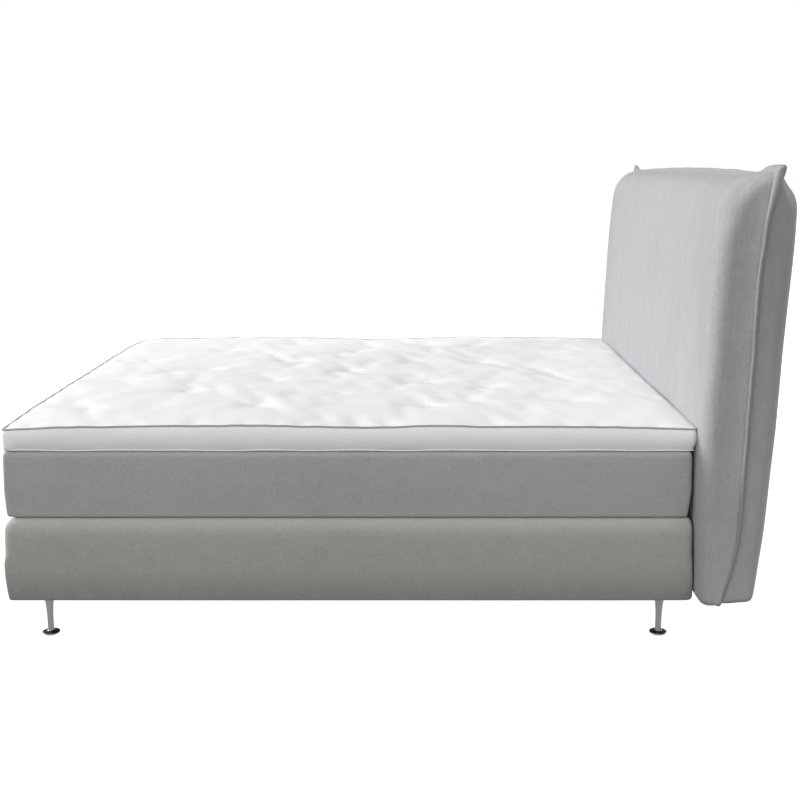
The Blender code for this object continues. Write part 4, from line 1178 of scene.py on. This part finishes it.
# ----------------------------------------------------- finishes of CAD nodes
FINISH = {}
for n in ("base_side_rail_left", "base_side_rail_right", "base_centre_beam"):
    FINISH[n] = MAT_WOOD_Y
for n in ["base_foot_rail", "base_head_rail", "headboard_top_rail", "headboard_middle_rail", "headboard_bottom_rail"] + [f"base_slat_{i}" for i in range(1, 7)]:
    FINISH[n] = MAT_WOOD_X
for n in ["headboard_upright_left", "headboard_upright_right"] + [f"base_leg_block_{e}_{h}" for e in ("foot", "head") for h in ("left", "right")]:
    FINISH[n] = MAT_WOOD_Z
for n in ("base_spring_unit", "mattress_spring_unit"):
    FINISH[n] = MAT_POCKET
for n in ("base_top_pad", "mattress_top_pad", "mattress_edge_foam"):
    FINISH[n] = MAT_FOAM
FINISH["headboard_panel"] = MAT_PLY
for n in ["headboard_bracket_left", "headboard_bracket_right", "base_bolt_left", "base_bolt_right", "headboard_bolt_left", "headboard_bolt_right"] + [f"leg_stud_{e}_{h}" for e in ("foot", "head") for h in ("left", "right")]:
    FINISH[n] = MAT_ZINC
for node, mat in FINISH.items():
    mesh = bpy.data.objects[node].data
    mesh.materials.clear()
    mesh.materials.append(mat)

# -------------------------------------------------------------------- floor
def floor_look():
    k = Look("studio_floor")
    mottle = k.noise(0.9, detail=3.0)
    colour = k.shade((0.28, 0.28, 0.28), k.fit(mottle, 0.3, 0.7, 0.995, 1.005))
    k.done(colour, k.fit(mottle, 0.3, 0.7, 0.88, 0.92), spec=0.0)
    k.shader.inputs["Emission Color"].default_value = (1.0, 1.0, 1.0, 1.0)
    k.shader.inputs["Emission Strength"].default_value = 0.97
    return k.mat


bm = bmesh.new()
bmesh.ops.create_grid(bm, x_segments=8, y_segments=8, size=40.0)
me = bpy.data.meshes.new("floor")
bm.to_mesh(me)
bm.free()
me.materials.append(floor_look())
floor = bpy.data.objects.new("floor", me)
SCENE.collection.objects.link(floor)
floor.location = (0, 0, -0.0002)
floor.visible_diffuse = False


# ------------------------------------------------------------------- lights
def area(name, at, to, size, power, tint=(1, 1, 1)):
    lamp = bpy.data.lights.new(name, "AREA")
    lamp.shape = "DISK"
    lamp.size = size
    lamp.energy = power
    lamp.color = tint
    ob = bpy.data.objects.new(name, lamp)
    SCENE.collection.objects.link(ob)
    ob.location = at
    ob.rotation_mode = "QUATERNION"
    ob.rotation_quaternion = (Vector(to) - Vector(at)).to_track_quat("-Z", "Y")
    ob.visible_camera = False
    return ob


area("key", (-6.0, -25.7, 9.6), (0, 0.2, 0.6), 6.3, 7850.0, (0.94, 0.995, 1.075))
area("back_fill", (-3.4, 6.8, 3.2), (0, 0.2, 0.6), 3.0, 240.0)

world = bpy.data.worlds.new("studio")
SCENE.world = world
world.use_nodes = True
tree = world.node_tree
tree.nodes.clear()
where = tree.nodes.new("ShaderNodeTexCoord").outputs["Generated"]


def slope(direction, scale, base):
    """Brightness rising towards one direction."""
    dot = tree.nodes.new("ShaderNodeVectorMath")
    dot.operation = "DOT_PRODUCT"
    tree.links.new(where, dot.inputs[0])
    dot.inputs[1].default_value = direction
    ramp = tree.nodes.new("ShaderNodeMapRange")
    ramp.inputs["From Min"].default_value = -1.0
    ramp.inputs["From Max"].default_value = 1.0
    ramp.inputs["To Min"].default_value = base - scale
    ramp.inputs["To Max"].default_value = base + scale
    tree.links.new(dot.outputs["Value"], ramp.inputs["Value"])
    return ramp.outputs[0]


glow = tree.nodes.new("ShaderNodeMath")
glow.operation = "MAXIMUM"
tree.links.new(slope((0.811, -0.487, -0.325), 0.925, 0.80), glow.inputs[0])
glow.inputs[1].default_value = 0.04
split = tree.nodes.new("ShaderNodeSeparateXYZ")
tree.links.new(where, split.inputs[0])
level = tree.nodes.new("ShaderNodeMapRange")
level.inputs["From Min"].default_value = -0.06
level.inputs["From Max"].default_value = 0.06
tree.links.new(split.outputs["Z"], level.inputs["Value"])
tint = tree.nodes.new("ShaderNodeMix")
tint.data_type = "RGBA"
tree.links.new(level.outputs[0], tint.inputs["Factor"])
tint.inputs[6].default_value = (0.112, 0.102, 0.094, 1.0)
tint.inputs[7].default_value = (1.008, 1.0, 0.988, 1.0)
lit = tree.nodes.new("ShaderNodeBackground")
tree.links.new(tint.outputs[2], lit.inputs["Color"])
tree.links.new(glow.outputs[0], lit.inputs["Strength"])
plain = tree.nodes.new("ShaderNodeBackground")
plain.inputs["Color"].default_value = (1.0, 1.0, 1.0, 1.0)
plain.inputs["Strength"].default_value = 1.0
rays = tree.nodes.new("ShaderNodeLightPath")
both = tree.nodes.new("ShaderNodeMixShader")
tree.links.new(rays.outputs["Is Camera Ray"], both.inputs[0])
tree.links.new(lit.outputs[0], both.inputs[1])
tree.links.new(plain.outputs[0], both.inputs[2])
tree.links.new(both.outputs[0], tree.nodes.new("ShaderNodeOutputWorld").inputs["Surface"])
